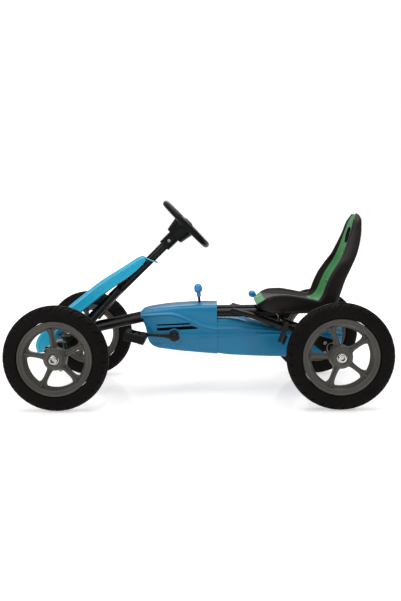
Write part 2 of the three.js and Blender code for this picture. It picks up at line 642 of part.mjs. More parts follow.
// ---------------------------------------------------------------- levers
function buildLevers() {
  const lean = deg(5);
  const along = (d) => point(SHIFT.x - d * Math.sin(lean), 0, SHIFT.z + d * Math.cos(lean));
  const leverTop = 40;
  const neck = 24;
  add('shift_lever', rod(along(-14), along(leverTop), 4), blackPaint);
  const grip = turnedUp(
    [[0, -neck], [6.5, -neck], [7, -9], [12.5, -5], [13, 6], [9.5, 14], [0, 18]], 0, 0, 0, 14);
  const tip = along(leverTop + neck + GAP);
  add('shift_grip', grip.rotateY(-lean).translate(tip.x, 0, tip.z), bluePlastic);

  // Cross shaft with a hanger at each tyre and the hand lever on the driver's right.
  const shaft = crossBar(BRAKE.x, BRAKE.z, -258, 258, 6);
  const hangers = [-1, 1].map((side) => {
    const foot = { x: BRAKE.x + HANGER.x, y: BRAKE.z + HANGER.z, r: 7 };
    const shape = strapShape({ x: BRAKE.x, y: BRAKE.z, r: 9 }, foot);
    const [low, high] = [side * 249, side * 255].sort((a, b) => a - b);
    return plateXZ(shape, low, high);
  });
  const end = point(BRAKE.x + BRAKE_LEVER.x, BRAKE_LEVER_Y, BRAKE.z + BRAKE_LEVER.z);
  const lever = rod(point(BRAKE.x, BRAKE_LEVER_Y, BRAKE.z), end, 4.5, 12);
  add('brake_shaft', join(shaft, ...hangers, lever), blackPaint);
  const knob = turnedUp([[0, -12], [7, -12], [11.5, -5], [12, 5], [8, 12], [0, 14]], 0, 0, 0, 14);
  const aim = Math.atan2(BRAKE_LEVER.x, BRAKE_LEVER.z);
  const out = point(BRAKE.x + BRAKE_LEVER.x * 1.17, BRAKE_LEVER_Y, BRAKE.z + BRAKE_LEVER.z * 1.17);
  add('brake_grip', knob.rotateY(aim).translate(out.x, out.y, out.z), bluePlastic);
  const padLean = Math.atan2(HANGER.x, HANGER.z);
  for (const [side, word] of [[-1, 'left'], [1, 'right']]) {
    const pad = new THREE.BoxGeometry(7, 34, 34).translate(12.6, 0, -40);
    pad.rotateY(padLean + Math.PI);
    add(`brake_pad_${word}`, pad.translate(BRAKE.x, side * 252, BRAKE.z), rubber);
  }
}

buildFrame();
buildColumn();
buildFrontEnd();
buildRearEnd();
buildDrive();
buildShells();
buildNose();
buildSeat();
buildLevers();

export default kart;
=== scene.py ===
"""Looks of the pedal go-kart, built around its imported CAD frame.

Sizes in the shape code are in millimetres. +X points to the rear, +Y to the driver's right, +Z up.
"""

import json
import math

import bmesh
import bpy
from mathutils import Matrix, Vector


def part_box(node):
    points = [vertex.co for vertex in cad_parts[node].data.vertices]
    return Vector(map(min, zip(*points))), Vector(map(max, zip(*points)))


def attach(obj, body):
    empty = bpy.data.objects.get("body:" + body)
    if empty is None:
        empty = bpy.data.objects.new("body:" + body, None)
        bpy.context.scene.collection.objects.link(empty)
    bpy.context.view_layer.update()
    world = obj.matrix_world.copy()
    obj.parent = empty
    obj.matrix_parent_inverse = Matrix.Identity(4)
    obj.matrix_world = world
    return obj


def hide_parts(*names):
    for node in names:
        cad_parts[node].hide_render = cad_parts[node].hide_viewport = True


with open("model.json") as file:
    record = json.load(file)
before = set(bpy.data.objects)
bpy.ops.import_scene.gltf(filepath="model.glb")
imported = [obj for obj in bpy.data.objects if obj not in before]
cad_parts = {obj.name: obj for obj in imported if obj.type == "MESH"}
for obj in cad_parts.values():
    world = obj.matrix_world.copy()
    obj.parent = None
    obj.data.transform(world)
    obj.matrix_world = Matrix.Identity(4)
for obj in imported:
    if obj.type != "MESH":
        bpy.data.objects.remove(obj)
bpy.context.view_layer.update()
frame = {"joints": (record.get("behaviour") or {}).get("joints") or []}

MM = 0.001
TURN = 2 * math.pi
SIDES = {"left": -1, "right": 1}
JOINTS = {joint["name"]: joint for joint in frame["joints"]}


def pivot(name):
    """Where a joint turns, in millimetres."""
    return Vector(JOINTS[name]["pos_m"]) / MM


def low(node):
    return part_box(node)[0] / MM


def high(node):
    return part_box(node)[1] / MM


# ---------------------------------------------------------------- places taken from the frame
CRANK = pivot("crank_spin")
REAR_AXLE = pivot("rear_axle_spin")
STEER = pivot("steer")
SHIFT = pivot("shift_tilt")
BRAKE = pivot("brake_pull")
UP_COLUMN = Vector(JOINTS["steer"]["axis"]).normalized()
RAIL_Y = 62
RAIL_R = 12.5
RAIL_Z = high("frame_rail_left").z - RAIL_R


# ---------------------------------------------------------------- placements
def basis(x_axis, y_axis, z_axis, at=(0, 0, 0)):
    """The placement whose local axes point along these directions."""
    axes = Matrix([Vector(axis) for axis in (x_axis, y_axis, z_axis)]).transposed().to_4x4()
    return Matrix.Translation(Vector(at)) @ axes


def cross(x, y, z, side=1):
    """Local X along X, local Y up, and local Z out to one side of the kart."""
    return basis((1, 0, 0), (0, 0, 1), (0, side, 0), (x, y, z))


def aimed(at, direction):
    """Local Z points along direction."""
    turn = Vector(direction).to_track_quat("Z", "Y").to_matrix().to_4x4()
    return Matrix.Translation(Vector(at)) @ turn


def shifted(x, y, z):
    return Matrix.Translation((x, y, z))


# Local Z up the steering column, local X down towards the rear, from the steering joint.
COLUMN = basis((UP_COLUMN.z, 0, -UP_COLUMN.x), (0, 1, 0), UP_COLUMN, STEER)


def put(name, data):
    """Makes an object and puts it in the scene."""
    thing = bpy.data.objects.new(name, data)
    bpy.context.scene.collection.objects.link(thing)
    return thing


# ---------------------------------------------------------------- camera
CAMERA_AT = (0.0672, -2.173, 0.4911)
CAMERA_DEGREES = (1.66, 5.29, -0.764)
CAMERA_LENS = 40.85


def add_camera():
    data = bpy.data.cameras.new("camera")
    data.lens = CAMERA_LENS
    data.sensor_width = 36
    data.clip_end = 100
    camera = put("camera", data)
    yaw, pitch, roll = [math.radians(a) for a in CAMERA_DEGREES]
    forward = Vector((-math.sin(yaw) * math.cos(pitch), math.cos(yaw) * math.cos(pitch), -math.sin(pitch)))
    right = Vector((math.cos(yaw), math.sin(yaw), 0))
    up = right.cross(forward)
    turned_right = right * math.cos(roll) + up * math.sin(roll)
    turned_up = up * math.cos(roll) - right * math.sin(roll)
    camera.matrix_world = basis(turned_right, turned_up, -forward, CAMERA_AT)
    bpy.context.scene.camera = camera


add_camera()


# ---------------------------------------------------------------- curves and outlines
def blend(a, b, leaving, arriving, t):
    """From a to b as t goes from 0 to 1, with these slopes at the ends."""
    return (a * (2 * t**3 - 3 * t**2 + 1) + leaving * (t**3 - 2 * t**2 + t)
            + b * (3 * t**2 - 2 * t**3) + arriving * (t**3 - t**2))


def smooth(rows):
    """A function of the first column that passes through the others with no overshoot."""
    keys = [row[0] for row in rows]
    columns = list(zip(*[row[1:] for row in rows]))
    slopes = []
    for values in columns:
        steps = [(b - a) / (q - p) for a, b, p, q in zip(values, values[1:], keys, keys[1:])]
        inner = [2 * s * t / (s + t) if s * t > 0 else 0.0 for s, t in zip(steps, steps[1:])]
        slopes.append([steps[0], *inner, steps[-1]])

    def at(key):
        key = min(max(key, keys[0]), keys[-1])
        k = max(i for i in range(len(keys) - 1) if keys[i] <= key) if key > keys[0] else 0
        span = keys[k + 1] - keys[k]
        t = (key - keys[k]) / span
        return [blend(values[k], values[k + 1], slope[k] * span, slope[k + 1] * span, t)
                for values, slope in zip(columns, slopes)]

    return at


def spread(start, end, count):
    return [start + (end - start) * k / (count - 1) for k in range(count)]


def through(points, count):
    """Evenly spread points on a smooth curve through the given ones."""
    points = [Vector(p) for p in points]
    lengths = [0.0]
    for a, b in zip(points, points[1:]):
        lengths.append(lengths[-1] + (b - a).length)
    last = len(points) - 1
    tangents = []
    for i, p in enumerate(points):
        a, b = max(i - 1, 0), min(i + 1, last)
        tangents.append((points[b] - points[a]) / (lengths[b] - lengths[a]))
    result = []
    for s in spread(0, lengths[-1], count):
        k = min(max(i for i in range(last + 1) if lengths[i] <= s + 1e-9), last - 1)
        span = lengths[k + 1] - lengths[k]
        t = (s - lengths[k]) / span
        result.append(blend(points[k], points[k + 1], tangents[k] * span, tangents[k + 1] * span, t))
    return result


def ease(low_edge, high_edge, value):
    t = min(max((value - low_edge) / (high_edge - low_edge), 0.0), 1.0)
    return t * t * (3 - 2 * t)


def polar(radius, angle):
    return radius * math.cos(angle), radius * math.sin(angle)


def spoke_point(out, across, angle):
    """A point so far out along a spoke at that angle, and so far across it."""
    c, s = math.cos(angle), math.sin(angle)
    return out * c - across * s, out * s + across * c


def arc(x, y, radius, start, end, count):
    """Points on an arc, angles in degrees."""
    angles = [math.radians(a) for a in spread(start, end, count)]
    return [(x + radius * math.cos(a), y + radius * math.sin(a)) for a in angles]


def polygon(radius, sides, turn=0):
    return [polar(radius, TURN * k / sides + turn) for k in range(sides)]


def strap(a, a_radius, b, b_radius):
    """Two round ends joined by their outer tangents."""
    reach = math.hypot(b[0] - a[0], b[1] - a[1])
    lean = math.degrees(math.atan2(b[1] - a[1], b[0] - a[0]))
    spread_angle = math.degrees(math.acos((a_radius - b_radius) / reach))
    return (arc(b[0], b[1], b_radius, lean - spread_angle, lean + spread_angle, 14)
            + arc(a[0], a[1], a_radius, lean + spread_angle, lean + 360 - spread_angle, 18))


def round_box(width, height, radius, x=0, y=0):
    w, h = width / 2 - radius, height / 2 - radius
    corners = [(w, h, 0), (-w, h, 90), (-w, -h, 180), (w, -h, 270)]
    return [p for cx, cy, a in corners for p in arc(x + cx, y + cy, radius, a, a + 90, 6)]


def bar(radius, bottom, top, bore=0, edge=0.6, rise=None):
    """Profile of a turned bar, or of a ring if it has a bore; edge and rise ease its outer corners."""
    rise = edge if rise is None else rise
    corners = [(radius, bottom), (radius, top)]
    if edge:
        inner = radius - edge
        corners = [(inner, bottom), (radius, bottom + rise), (radius, top - rise), (inner, top)]
    profile = [(bore, bottom), *corners, (bore, top)]
    return [*profile, profile[0]] if bore else profile


def inset(outline, amount):
    """The outline moved in by amount; it runs counter-clockwise."""
    result = []
    for i, p in enumerate(outline):
        before, here, after = Vector(outline[i - 1]), Vector(p), Vector(outline[(i + 1) % len(outline)])
        d1, d2 = (here - before).normalized(), (after - here).normalized()
        n1, n2 = Vector((-d1.y, d1.x)), Vector((-d2.y, d2.x))
        move = (n1 + n2) / max(1 + n1.dot(n2), 0.4) * amount
        result.append((here.x + move.x, here.y + move.y))
    return result


# ---------------------------------------------------------------- solids
class Shape:
    """Points in millimetres, and faces with the number of their material."""

    def __init__(self):
        self.points = []
        self.faces = []
        self.kinds = []

    def add(self, mesh, place=None, kind=0):
        points, faces = mesh
        start = len(self.points)
        self.points += [place @ Vector(p) if place else Vector(p) for p in points]
        self.faces += [tuple(start + i for i in face) for face in faces]
        self.kinds += kind if isinstance(kind, list) else [kind] * len(faces)
        return self


def grid(rows, around=True, closed=False, caps=True):
    """A skin over rows of points; around joins each row's ends, closed the last row to the first."""
    count, total = len(rows[0]), len(rows)
    faces = []
    for r in range(total if closed else total - 1):
        here, there = r * count, (r + 1) % total * count
        for i in range(count if around else count - 1):
            j = (i + 1) % count
            faces.append((here + i, here + j, there + j, there + i))
    if caps and around and not closed:
        faces.append(tuple(range(count - 1, -1, -1)))
        faces.append(tuple(range((total - 1) * count, total * count)))
    return [p for row in rows for p in row], faces


def lathe(profile, sides=64):
    """A profile of (radius, height) turned about local Z; it ends on the axis or closes on itself."""
    rows = [[(*polar(r, TURN * k / sides), h) for r, h in profile] for k in range(sides)]
    return grid(rows, around=profile[0][0] > 0, closed=True)


def plate(outline, bottom, top, bevel=0.8):
    """An outline pushed from bottom to top along local Z, with bevelled edges."""
    small = inset(outline, bevel)
    rows = [[(x, y, h) for x, y in shape] for shape, h in
            [(small, bottom), (outline, bottom + bevel), (outline, top - bevel), (small, top)]]
    return grid(rows)


def tube(points, radius, sides=24, count=None, chamfer=0.8):
    """A round bar or tube along a path, with eased ends."""
    path = through(points, count) if count else [Vector(p) for p in points]
    ahead = (path[1] - path[0]).normalized()
    behind = (path[-1] - path[-2]).normalized()
    path = [path[0], path[0] + ahead * chamfer, *path[1:-1], path[-1] - behind * chamfer, path[-1]]
    last = len(path) - 1
    side = ahead.orthogonal().normalized()
    rows = []
    for i, p in enumerate(path):
        along = (path[min(i + 1, last)] - path[max(i - 1, 0)]).normalized()
        side = (side - along * side.dot(along)).normalized()
        other = along.cross(side)
        r = radius(i / last) if callable(radius) else radius
        r -= chamfer if i in (0, last) else 0
        rows.append([p + (side * math.cos(TURN * k / sides) + other * math.sin(TURN * k / sides)) * r
                     for k in range(sides)])
    return grid(rows)


def bolt(size, height=None):
    """A hexagon bolt head with a washer, seat at local Z 0."""
    height = height or size * 0.6
    washer = [(0, 0), (size * 0.78, 0), (size * 0.8, 0.4), (size * 0.78, 1.2), (0, 1.2)]
    head = Shape().add(lathe(washer, 24))
    head.add(plate(polygon(size * 0.58, 6), 1.0, height, 0.5))
    return head.points, head.faces


SHARP_DEGREES = 32
SAME_POINT = 2e-6


def solid_mesh(name, shape, materials):
    """A mesh in metres, its doubled points joined and its faces turned outwards."""
    mesh = bpy.data.meshes.new(name)
    mesh.from_pydata([p * MM for p in shape.points], [], shape.faces)
    mesh.polygons.foreach_set("material_index", shape.kinds)
    work = bmesh.new()
    work.from_mesh(mesh)
    bmesh.ops.remove_doubles(work, verts=work.verts, dist=SAME_POINT)
    bmesh.ops.recalc_face_normals(work, faces=work.faces)
    work.to_mesh(mesh)
    work.free()
    for material in materials:
        mesh.materials.append(material)
    return mesh


def shade(mesh, sharp=SHARP_DEGREES):
    mesh.shade_smooth()
    mesh.set_sharp_from_angle(angle=math.radians(sharp))


def piece(name, shape, materials, body, stands_for=(), sharp=SHARP_DEGREES):
    """Makes the object, rides it on its body and hides the frame parts it stands for."""
    mesh = solid_mesh(name, shape, materials)
    shade(mesh, sharp)
    thing = put(name, mesh)
    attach(thing, body)
    if stands_for:
        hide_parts(*stands_for)
    return thing


def carve(thing, *cutters):
    """Cuts closed shapes out of a piece; the new faces take its first material."""
    for k, cutter in enumerate(cutters):
        tool = put(f"cutter_{k}", solid_mesh("cutter", cutter, thing.data.materials))
        cut = thing.modifiers.new("cut", "BOOLEAN")
        cut.operation = "DIFFERENCE"
        cut.solver = "EXACT"
        cut.material_mode = "INDEX"
        cut.object = tool
        bpy.context.view_layer.update()
        shown = thing.evaluated_get(bpy.context.evaluated_depsgraph_get())
        result = bpy.data.meshes.new_from_object(shown)
        thing.modifiers.clear()
        result.name = thing.name
        thing.data = result
        bpy.data.objects.remove(tool)
    shade(thing.data)


# ---------------------------------------------------------------- materials
def colour(code):
    """Linear colour of a six-figure sRGB code."""
    parts = [int(code[i:i + 2], 16) / 255 for i in (0, 2, 4)]
    return [*(p / 12.92 if p < 0.04045 else ((p + 0.055) / 1.055) ** 2.4 for p in parts), 1.0]


def add_node(tree, kind, **inputs):
    """A shader node with its inputs set; an underscore in an input's name stands for a space."""
    node = tree.nodes.new(f"ShaderNode{kind}")
    for socket, value in inputs.items():
        node.inputs[socket.replace("_", " ")].default_value = value
    return node


def map_range(tree, value, start, end, low_value, high_value):
    node = add_node(tree, "MapRange", From_Min=start, From_Max=end, To_Min=low_value, To_Max=high_value)
    tree.links.new(value, node.inputs["Value"])
    return node.outputs["Result"]


class Finish:
    """A Principled material with noise driven colour, roughness and relief, all in object coordinates."""

    def __init__(self, name, **sockets):
        self.material = bpy.data.materials.new(name)
        self.material.use_nodes = True
        self.tree = self.material.node_tree
        self.shader = self.tree.nodes["Principled BSDF"]
        for socket, value in sockets.items():
            self.shader.inputs[socket.replace("_", " ")].default_value = value
        self.place = add_node(self.tree, "TexCoord").outputs["Object"]
        self.normal = None

    def link(self, source, target):
        self.tree.links.new(source, target)

    def noise(self, scale, detail=4.0, stretch=(1, 1, 1), rough=0.55):
        mapping = add_node(self.tree, "Mapping", Scale=stretch)
        self.link(self.place, mapping.inputs["Vector"])
        texture = add_node(self.tree, "TexNoise", Scale=scale, Detail=detail, Roughness=rough)
        self.link(mapping.outputs["Vector"], texture.inputs["Vector"])
        return texture.outputs["Fac"]

    def edges(self, start=0.55, end=0.72):
        geometry = add_node(self.tree, "NewGeometry")
        return self.range(geometry.outputs["Pointiness"], start, end, 0, 1)

    def range(self, value, start, end, low_value, high_value):
        return map_range(self.tree, value, start, end, low_value, high_value)

    def far(self, near, away, low_value, high_value):
        """A value that changes with the distance from the middle of the object."""
        length = add_node(self.tree, "VectorMath")
        length.operation = "LENGTH"
        self.link(self.place, length.inputs[0])
        return self.range(length.outputs["Value"], near, away, low_value, high_value)

    def mix(self, factor, first, second):
        node = add_node(self.tree, "Mix")
        node.data_type = "RGBA"
        sockets = {socket.identifier: socket for socket in [*node.inputs, *node.outputs]}
        self.link(factor, sockets["Factor_Float"])
        for socket, value in ((sockets["A_Color"], first), (sockets["B_Color"], second)):
            if isinstance(value, str):
                socket.default_value = colour(value)
            else:
                self.link(value, socket)
        return sockets["Result_Color"]

    def paint(self, source):
        self.link(source, self.shader.inputs["Base Color"])

    def roughness(self, source):
        self.link(source, self.shader.inputs["Roughness"])

    def relief(self, height, depth):
        """Adds fine relief, depth in millimetres."""
        node = add_node(self.tree, "Bump", Distance=depth * MM)
        self.link(height, node.inputs["Height"])
        if self.normal:
            self.link(self.normal, node.inputs["Normal"])
        self.normal = node.outputs["Normal"]
        self.link(self.normal, self.shader.inputs["Normal"])


def moulded(name, dark, light, edge_wear_and_highlight, rough, grain, grain_depth, wave, **sockets):
    """Moulded plastic: slow random drifts of tone, a fine grain, sink waves and paler edges, partly wear and
    partly a painted highlight.
    """
    finish = Finish(name, **sockets)
    body = finish.mix(finish.range(finish.noise(7, 2), 0.3, 0.7, 0, 1), dark, light)
    # Paler pointy edges: partly wear, partly a painted highlight along ridges and rims.
    finish.paint(finish.mix(finish.edges(), body, edge_wear_and_highlight))
    finish.roughness(finish.range(finish.noise(60, 5), 0.25, 0.75, *rough))
    finish.relief(finish.noise(grain, 1), grain_depth)
    finish.relief(finish.noise(40, 1), wave)
    return finish.material


def black_paint():
    """Gloss powder coat with its orange peel."""
    finish = Finish("black_powder_coat", Coat_Weight=0.06, Coat_Roughness=0.1, Specular_IOR_Level=0.15)
    body = finish.mix(finish.range(finish.noise(22, 4), 0.35, 0.7, 0, 1), "050504", "0c0b0a")
    finish.paint(finish.mix(finish.edges(0.58, 0.74), body, "26231f"))
    finish.roughness(finish.range(finish.noise(80, 5), 0.3, 0.7, 0.24, 0.34))
    finish.relief(finish.noise(420, 1), 0.008)
    return finish.material


def tyre_rubber():
    finish = Finish("tyre_rubber", Specular_IOR_Level=0.07)
    body = finish.mix(finish.range(finish.noise(18, 5), 0.3, 0.7, 0, 1), "070505", "0f0c0a")
    dust = finish.range(finish.noise(160, 6, rough=0.7), 0.55, 0.8, 0, 0.3)
    body = finish.mix(dust, body, "231c18")
    finish.paint(finish.mix(finish.edges(0.53, 0.64), body, "3a312b"))
    finish.roughness(finish.range(finish.noise(70, 5), 0.3, 0.7, 0.5, 0.7))
    finish.relief(finish.noise(900, 1), 0.012)
    return finish.material


def metal(name, dark, light, rough, stretch, depth):
    """Turned or plated metal, with fine marks along the stretch."""
    finish = Finish(name, Metallic=1.0)
    finish.paint(finish.mix(finish.range(finish.noise(30, 5), 0.3, 0.7, 0, 1), dark, light))
    finish.roughness(finish.range(finish.noise(220, 5, stretch), 0.3, 0.7, *rough))
    finish.relief(finish.noise(700, 3, stretch), depth)
    return finish.material


PAINT = black_paint()
# The pale edge colour of the blue shells is partly wear and partly a painted highlight on their ridges.
BLUE = moulded("body_blue_plastic", "05658a", "086f97", "3aa5c8", (0.26, 0.34), 1200, 0.004, 0.004,
               Specular_IOR_Level=0.32)
NOSE = moulded("nose_cyan_plastic", "0f92b4", "159cbd", "5fd0e2", (0.26, 0.34), 1200, 0.004, 0.004,
               Specular_IOR_Level=0.45)
KNOB = moulded("knob_blue_plastic", "1f74b0", "2a86c0", "6cbce6", (0.24, 0.34), 1200, 0.004, 0.004)
RUBBER = tyre_rubber()
RIM = moulded("rim_grey_plastic", "3c3a36", "484540", "7f7b74", (0.36, 0.46), 900, 0.006, 0.006,
              Specular_IOR_Level=0.3)
DARK = moulded("dark_green_plastic", "050805", "0b100b", "263226", (0.3, 0.42), 800, 0.008, 0.006,
               Specular_IOR_Level=0.1)
# A very dark, matt colour for the sheet behind the vents: painted shade.
VENT_PAINTED_SHADE = moulded("vent_painted_shade", "020203", "040505", "090a0b", (0.6, 0.8), 800, 0.008, 0.006,
                     Specular_IOR_Level=0.05)
SEAT_DARK = moulded("seat_brown_plastic", "0c0807", "150f0d", "30261f", (0.34, 0.44), 700, 0.008, 0.006,
                    Specular_IOR_Level=0.15)
# The seat's green panel colour, partly the seat's own and partly a painted reflection on faces that look
# forward.
SEAT_GREEN_AND_REFLECTION = moulded("seat_green_and_reflection", "357542", "428a4f", "86c68a", (0.3, 0.42), 700, 0.006, 0.006,
                     Specular_IOR_Level=0.35)
PAD = moulded("brake_pad_rubber", "090908", "11100f", "22201e", (0.7, 0.9), 600, 0.02, 0.01,
              Specular_IOR_Level=0.1)
STEEL = metal("bare_steel", "7c7b78", "a3a19c", (0.28, 0.5), (1, 6, 1), 0.004)
CHROME = metal("bright_chrome", "9a9a98", "bcbcba", (0.08, 0.18), (1, 1, 1), 0.002)
CHAIN_STEEL = metal("oiled_chain_steel", "3a3632", "6a645c", (0.3, 0.5), (1, 1, 1), 0.006)


# ---------------------------------------------------------------- tyres
TREAD_BLOCKS = 30
BLOCK_STEPS = 16
# How much the tread leans: radians for each millimetre from the crown, up to a distance.
TREAD_SLANT = 0.0052
SLANT_REACH = 26
TYRE_HALF = [(109.2, 19), (110.4, 22.4), (114, 24.6), (119, 25.3), (127, 25.3), (135, 24.6), (141.5, 22.4),
             (146.6, 18.6), (149.8, 13.6), (151.6, 7.5), (152.4, 0)]


def tread_depth(step, radius, across, away):
    """How far the skin is cut in at a point, away being its distance from the crown over the surface."""
    phase = (step + (BLOCK_STEPS // 2 if across < 0 else 0)) % BLOCK_STEPS
    inside = ease(3, 6, away) * (1 - ease(29, 34, away))
    groove = 3.0 * inside if phase < 3 else 0.0
    sipe = 1.1 * inside if phase == 9 and away > 12 else 0.0
    channel = 2.3 if abs(away - 11) < 1.4 else 0.0
    ring = -0.6 if abs(radius - 130) < 1.1 or abs(radius - 117) < 1.1 else 0.0
    return max(groove, sipe, channel) or ring


def tyre(place):
    half = [Vector((p.x, p.y, 0)) for p in through([(r, y, 0) for r, y in TYRE_HALF], 32)]
    section = half + [Vector((p.x, -p.y, 0)) for p in reversed(half[:-1])]
    middle = len(half) - 1
    away = [0.0] * len(section)
    for i in range(1, middle + 1):
        away[middle + i] = away[middle + i - 1] + (section[middle + i] - section[middle + i - 1]).length
        away[middle - i] = away[middle + i]
    normals = []
    for i in range(len(section)):
        along = section[min(i + 1, len(section) - 1)] - section[max(i - 1, 0)]
        normals.append(Vector((-along.y, along.x, 0)).normalized())
    steps = TREAD_BLOCKS * BLOCK_STEPS
    rows = []
    for k in range(steps):
        row = []
        for p, normal, distance in zip(section, normals, away):
            angle = TURN * k / steps + TREAD_SLANT * min(distance, SLANT_REACH)
            q = p - normal * tread_depth(k, p.x, p.y, distance)
            row.append((*polar(q.x, angle), q.y))
        rows.append(row)
    return Shape().add(grid(rows, closed=True), place)


# ---------------------------------------------------------------- rims and axle nuts
SPOKES = 5
SPOKE_RADII = [24, 28, 31, 34, 37, 40, 44, 50, 56, 62, 66, 70, 73, 76, 78, 80, 82, 84, 86, 88.5]
NUT_SIDES = 36
BARREL_HALF = [(108, 19.5), (107.6, 21.8), (106, 23.2), (103.6, 23.4), (102, 22.4), (101, 20.8), (99, 20.2),
               (98.2, 19.4), (97.2, 20.0), (93.5, 19.4), (91.6, 18), (90.4, 14), (88.5, 9.5), (85.5, 6.5),
               (83.4, 4), (83, 1)]
HUB = [(9.2, -23.5), (19.5, -23.5), (21.6, -22), (22, -12), (30, -11), (32.6, -9), (33, -6), (33, 14),
       (32.6, 18), (30.8, 21.4), (28.4, 22.6), (26.6, 26.4), (25.4, 28.6), (23, 29.6), (17.4, 29.8),
       (16.2, 29), (15.6, 26), (9.2, 26), (9.2, -23.5)]


def spoke_section(r):
    """Half widths and heights of a ribbed spoke at a distance from the hub centre."""
    wide = min(6.8 + 8 * math.exp(-(r - 30) / 5) + 10 * math.exp(-(84 - r) / 5), 22)
    rib = 16.5 - 3 * ease(36, 80, r) + 5 * ease(82, 90, r)
    half = [(0, rib), (1.8, rib), (2.5, rib - 0.8), (2.8, 9.4), (3.4, 8.6), (wide - 1.6, 8.2),
            (wide - 0.4, 7.2), (wide, 4), (wide, -5), (wide - 2, -8), (3.2, -9), (2.6, -11.5), (0, -12)]
    return half + [(-t, h) for t, h in reversed(half[1:-1])]


def rim(place, spoke_angle):
    shape = Shape()
    barrel = BARREL_HALF + [(r, -h) for r, h in reversed(BARREL_HALF)] + [BARREL_HALF[0]]
    shape.add(lathe(barrel, 128), place)
    shape.add(lathe(HUB, 64), place)
    for k in range(SPOKES):
        a = spoke_angle + TURN * k / SPOKES
        rows = [[(*spoke_point(r, t, a), h) for t, h in spoke_section(r)] for r in SPOKE_RADII]
        shape.add(grid(rows), place)
    return shape


def hexagon_or_ring(radius, flat):
    """Radii round an axis: all alike, or of six flats at that distance from it."""
    return [radius if not flat else radius / math.cos((TURN * k / NUT_SIDES) % (TURN / 6) - TURN / 12)
            for k in range(NUT_SIDES)]


def axle_nut(place):
    dome = [(14.6, 26.3), (14.8, 26.8), (14.8, 27.6), (13, 28.1), (13, 35.6), (12.4, 37.8), (10.8, 39.3),
            (8.4, 39.9)]
    socket = [(6.2, 39.5), (5.6, 38.6), (5.6, 31)]
    rows = []
    for levels, flat in ((dome, False), (socket, True)):
        for radius, h in levels:
            radii = hexagon_or_ring(radius, flat)
            rows.append([(*polar(r, TURN * k / NUT_SIDES), h) for k, r in enumerate(radii)])
    return Shape().add(grid(rows), place)


def add_wheels():
    spots = {
        "front_left": ("wheel_front_left", "knuckle_left", 26),
        "front_right": ("wheel_front_right", "knuckle_right", 26),
        "rear_left": ("wheel_rear_left", "rear_drive", 34),
        "rear_right": ("rear_drive", "rear_drive", 34),
    }
    for spot, (wheel_body, nut_body, spoke_degrees) in spots.items():
        tyre_low, tyre_high = low(f"tyre_{spot}"), high(f"tyre_{spot}")
        centre = (tyre_low + tyre_high) / 2
        place = cross(centre.x, centre.y, centre.z, -1 if "left" in spot else 1)
        piece(f"fine_tyre_{spot}", tyre(place), [RUBBER], wheel_body, [f"tyre_{spot}"], 40)
        piece(f"fine_rim_{spot}", rim(place, math.radians(spoke_degrees)), [RIM], wheel_body,
              [f"rim_{spot}"], 24)
        piece(f"fine_axle_nut_{spot}", axle_nut(place), [CHROME], nut_body, [f"axle_nut_{spot}"])


# ---------------------------------------------------------------- frame tubes and plates
HANGER_Y = 61
AXLE_BEARING_Y = 120.3
CARRIER_FACE_Y = 123.2
RAIL_ROUTE = [(-420, 183), (-386, 186), (-345, 206), (-310, 214.5), (-183, 240.5), (-128, 251), (-92, 256),
              (-60, RAIL_Z), (100, RAIL_Z), (238, RAIL_Z)]


def add_rails():
    for word, side in SIDES.items():
        rail = Shape().add(tube([(x, side * RAIL_Y, z) for x, z in RAIL_ROUTE], RAIL_R, 32, 60))
        piece(f"fine_rail_{word}", rail, [PAINT], "chassis", [f"frame_rail_{word}"])
        plug = Shape().add(lathe([(0, -1), (12.2, -1), (12.4, 0.4), (11.2, 2), (8, 2.6), (0, 2.8)], 32),
                           aimed((RAIL_ROUTE[-1][0] - 1, side * RAIL_Y, RAIL_Z), (1, 0, 0)))
        piece(f"rail_end_plug_{word}", plug, [DARK], "chassis")

        hanger = Shape()
        middle = side * HANGER_Y
        outline = strap((CRANK.x, CRANK.z), 24, (CRANK.x + 6, 219), 24)
        hanger.add(plate(outline, -3, 3, 0.8), cross(0, middle, 0, side))
        cup = bar(19.5, -8, 8, bore=16.3, rise=0.7)
        hanger.add(lathe(cup, 48), cross(CRANK.x, middle, CRANK.z, side))
        piece(f"fine_crank_hanger_{word}", hanger, [PAINT], "chassis",
              [f"crank_hanger_{word}"])

    tie = Shape().add(tube([(206, -49.2, RAIL_Z), (206, 49.2, RAIL_Z)], 10, 32))
    piece("fine_cross_tube", tie, [PAINT], "chassis", ["frame_cross_tube"])


def bearing(radius, bore, half):
    """A sealed ball bearing: two races with a recessed shield between them."""
    mid = (radius + bore) / 2
    gap = (radius - bore) * 0.22
    under = [(bore, -half), (mid - gap, -half), (mid - gap, -half + 0.8), (mid + gap, -half + 0.8),
             (mid + gap, -half), (radius, -half)]
    over = [(r, -h) for r, h in reversed(under)]
    return lathe([*under, *over, under[0]], 48)


def add_bearings():
    for word, side in SIDES.items():
        crank = Shape().add(bearing(16, 8.3, 6), cross(CRANK.x, side * HANGER_Y, CRANK.z, side))
        piece(f"fine_crank_bearing_{word}", crank, [STEEL], "chassis",
              [f"crank_bearing_{word}"])
        place = cross(REAR_AXLE.x, side * AXLE_BEARING_Y, REAR_AXLE.z, side)
        axle = Shape().add(bearing(17.4, 8.3, 5.4), place)
        piece(f"fine_axle_bearing_{word}", axle, [STEEL], "chassis", [f"axle_bearing_{word}"])


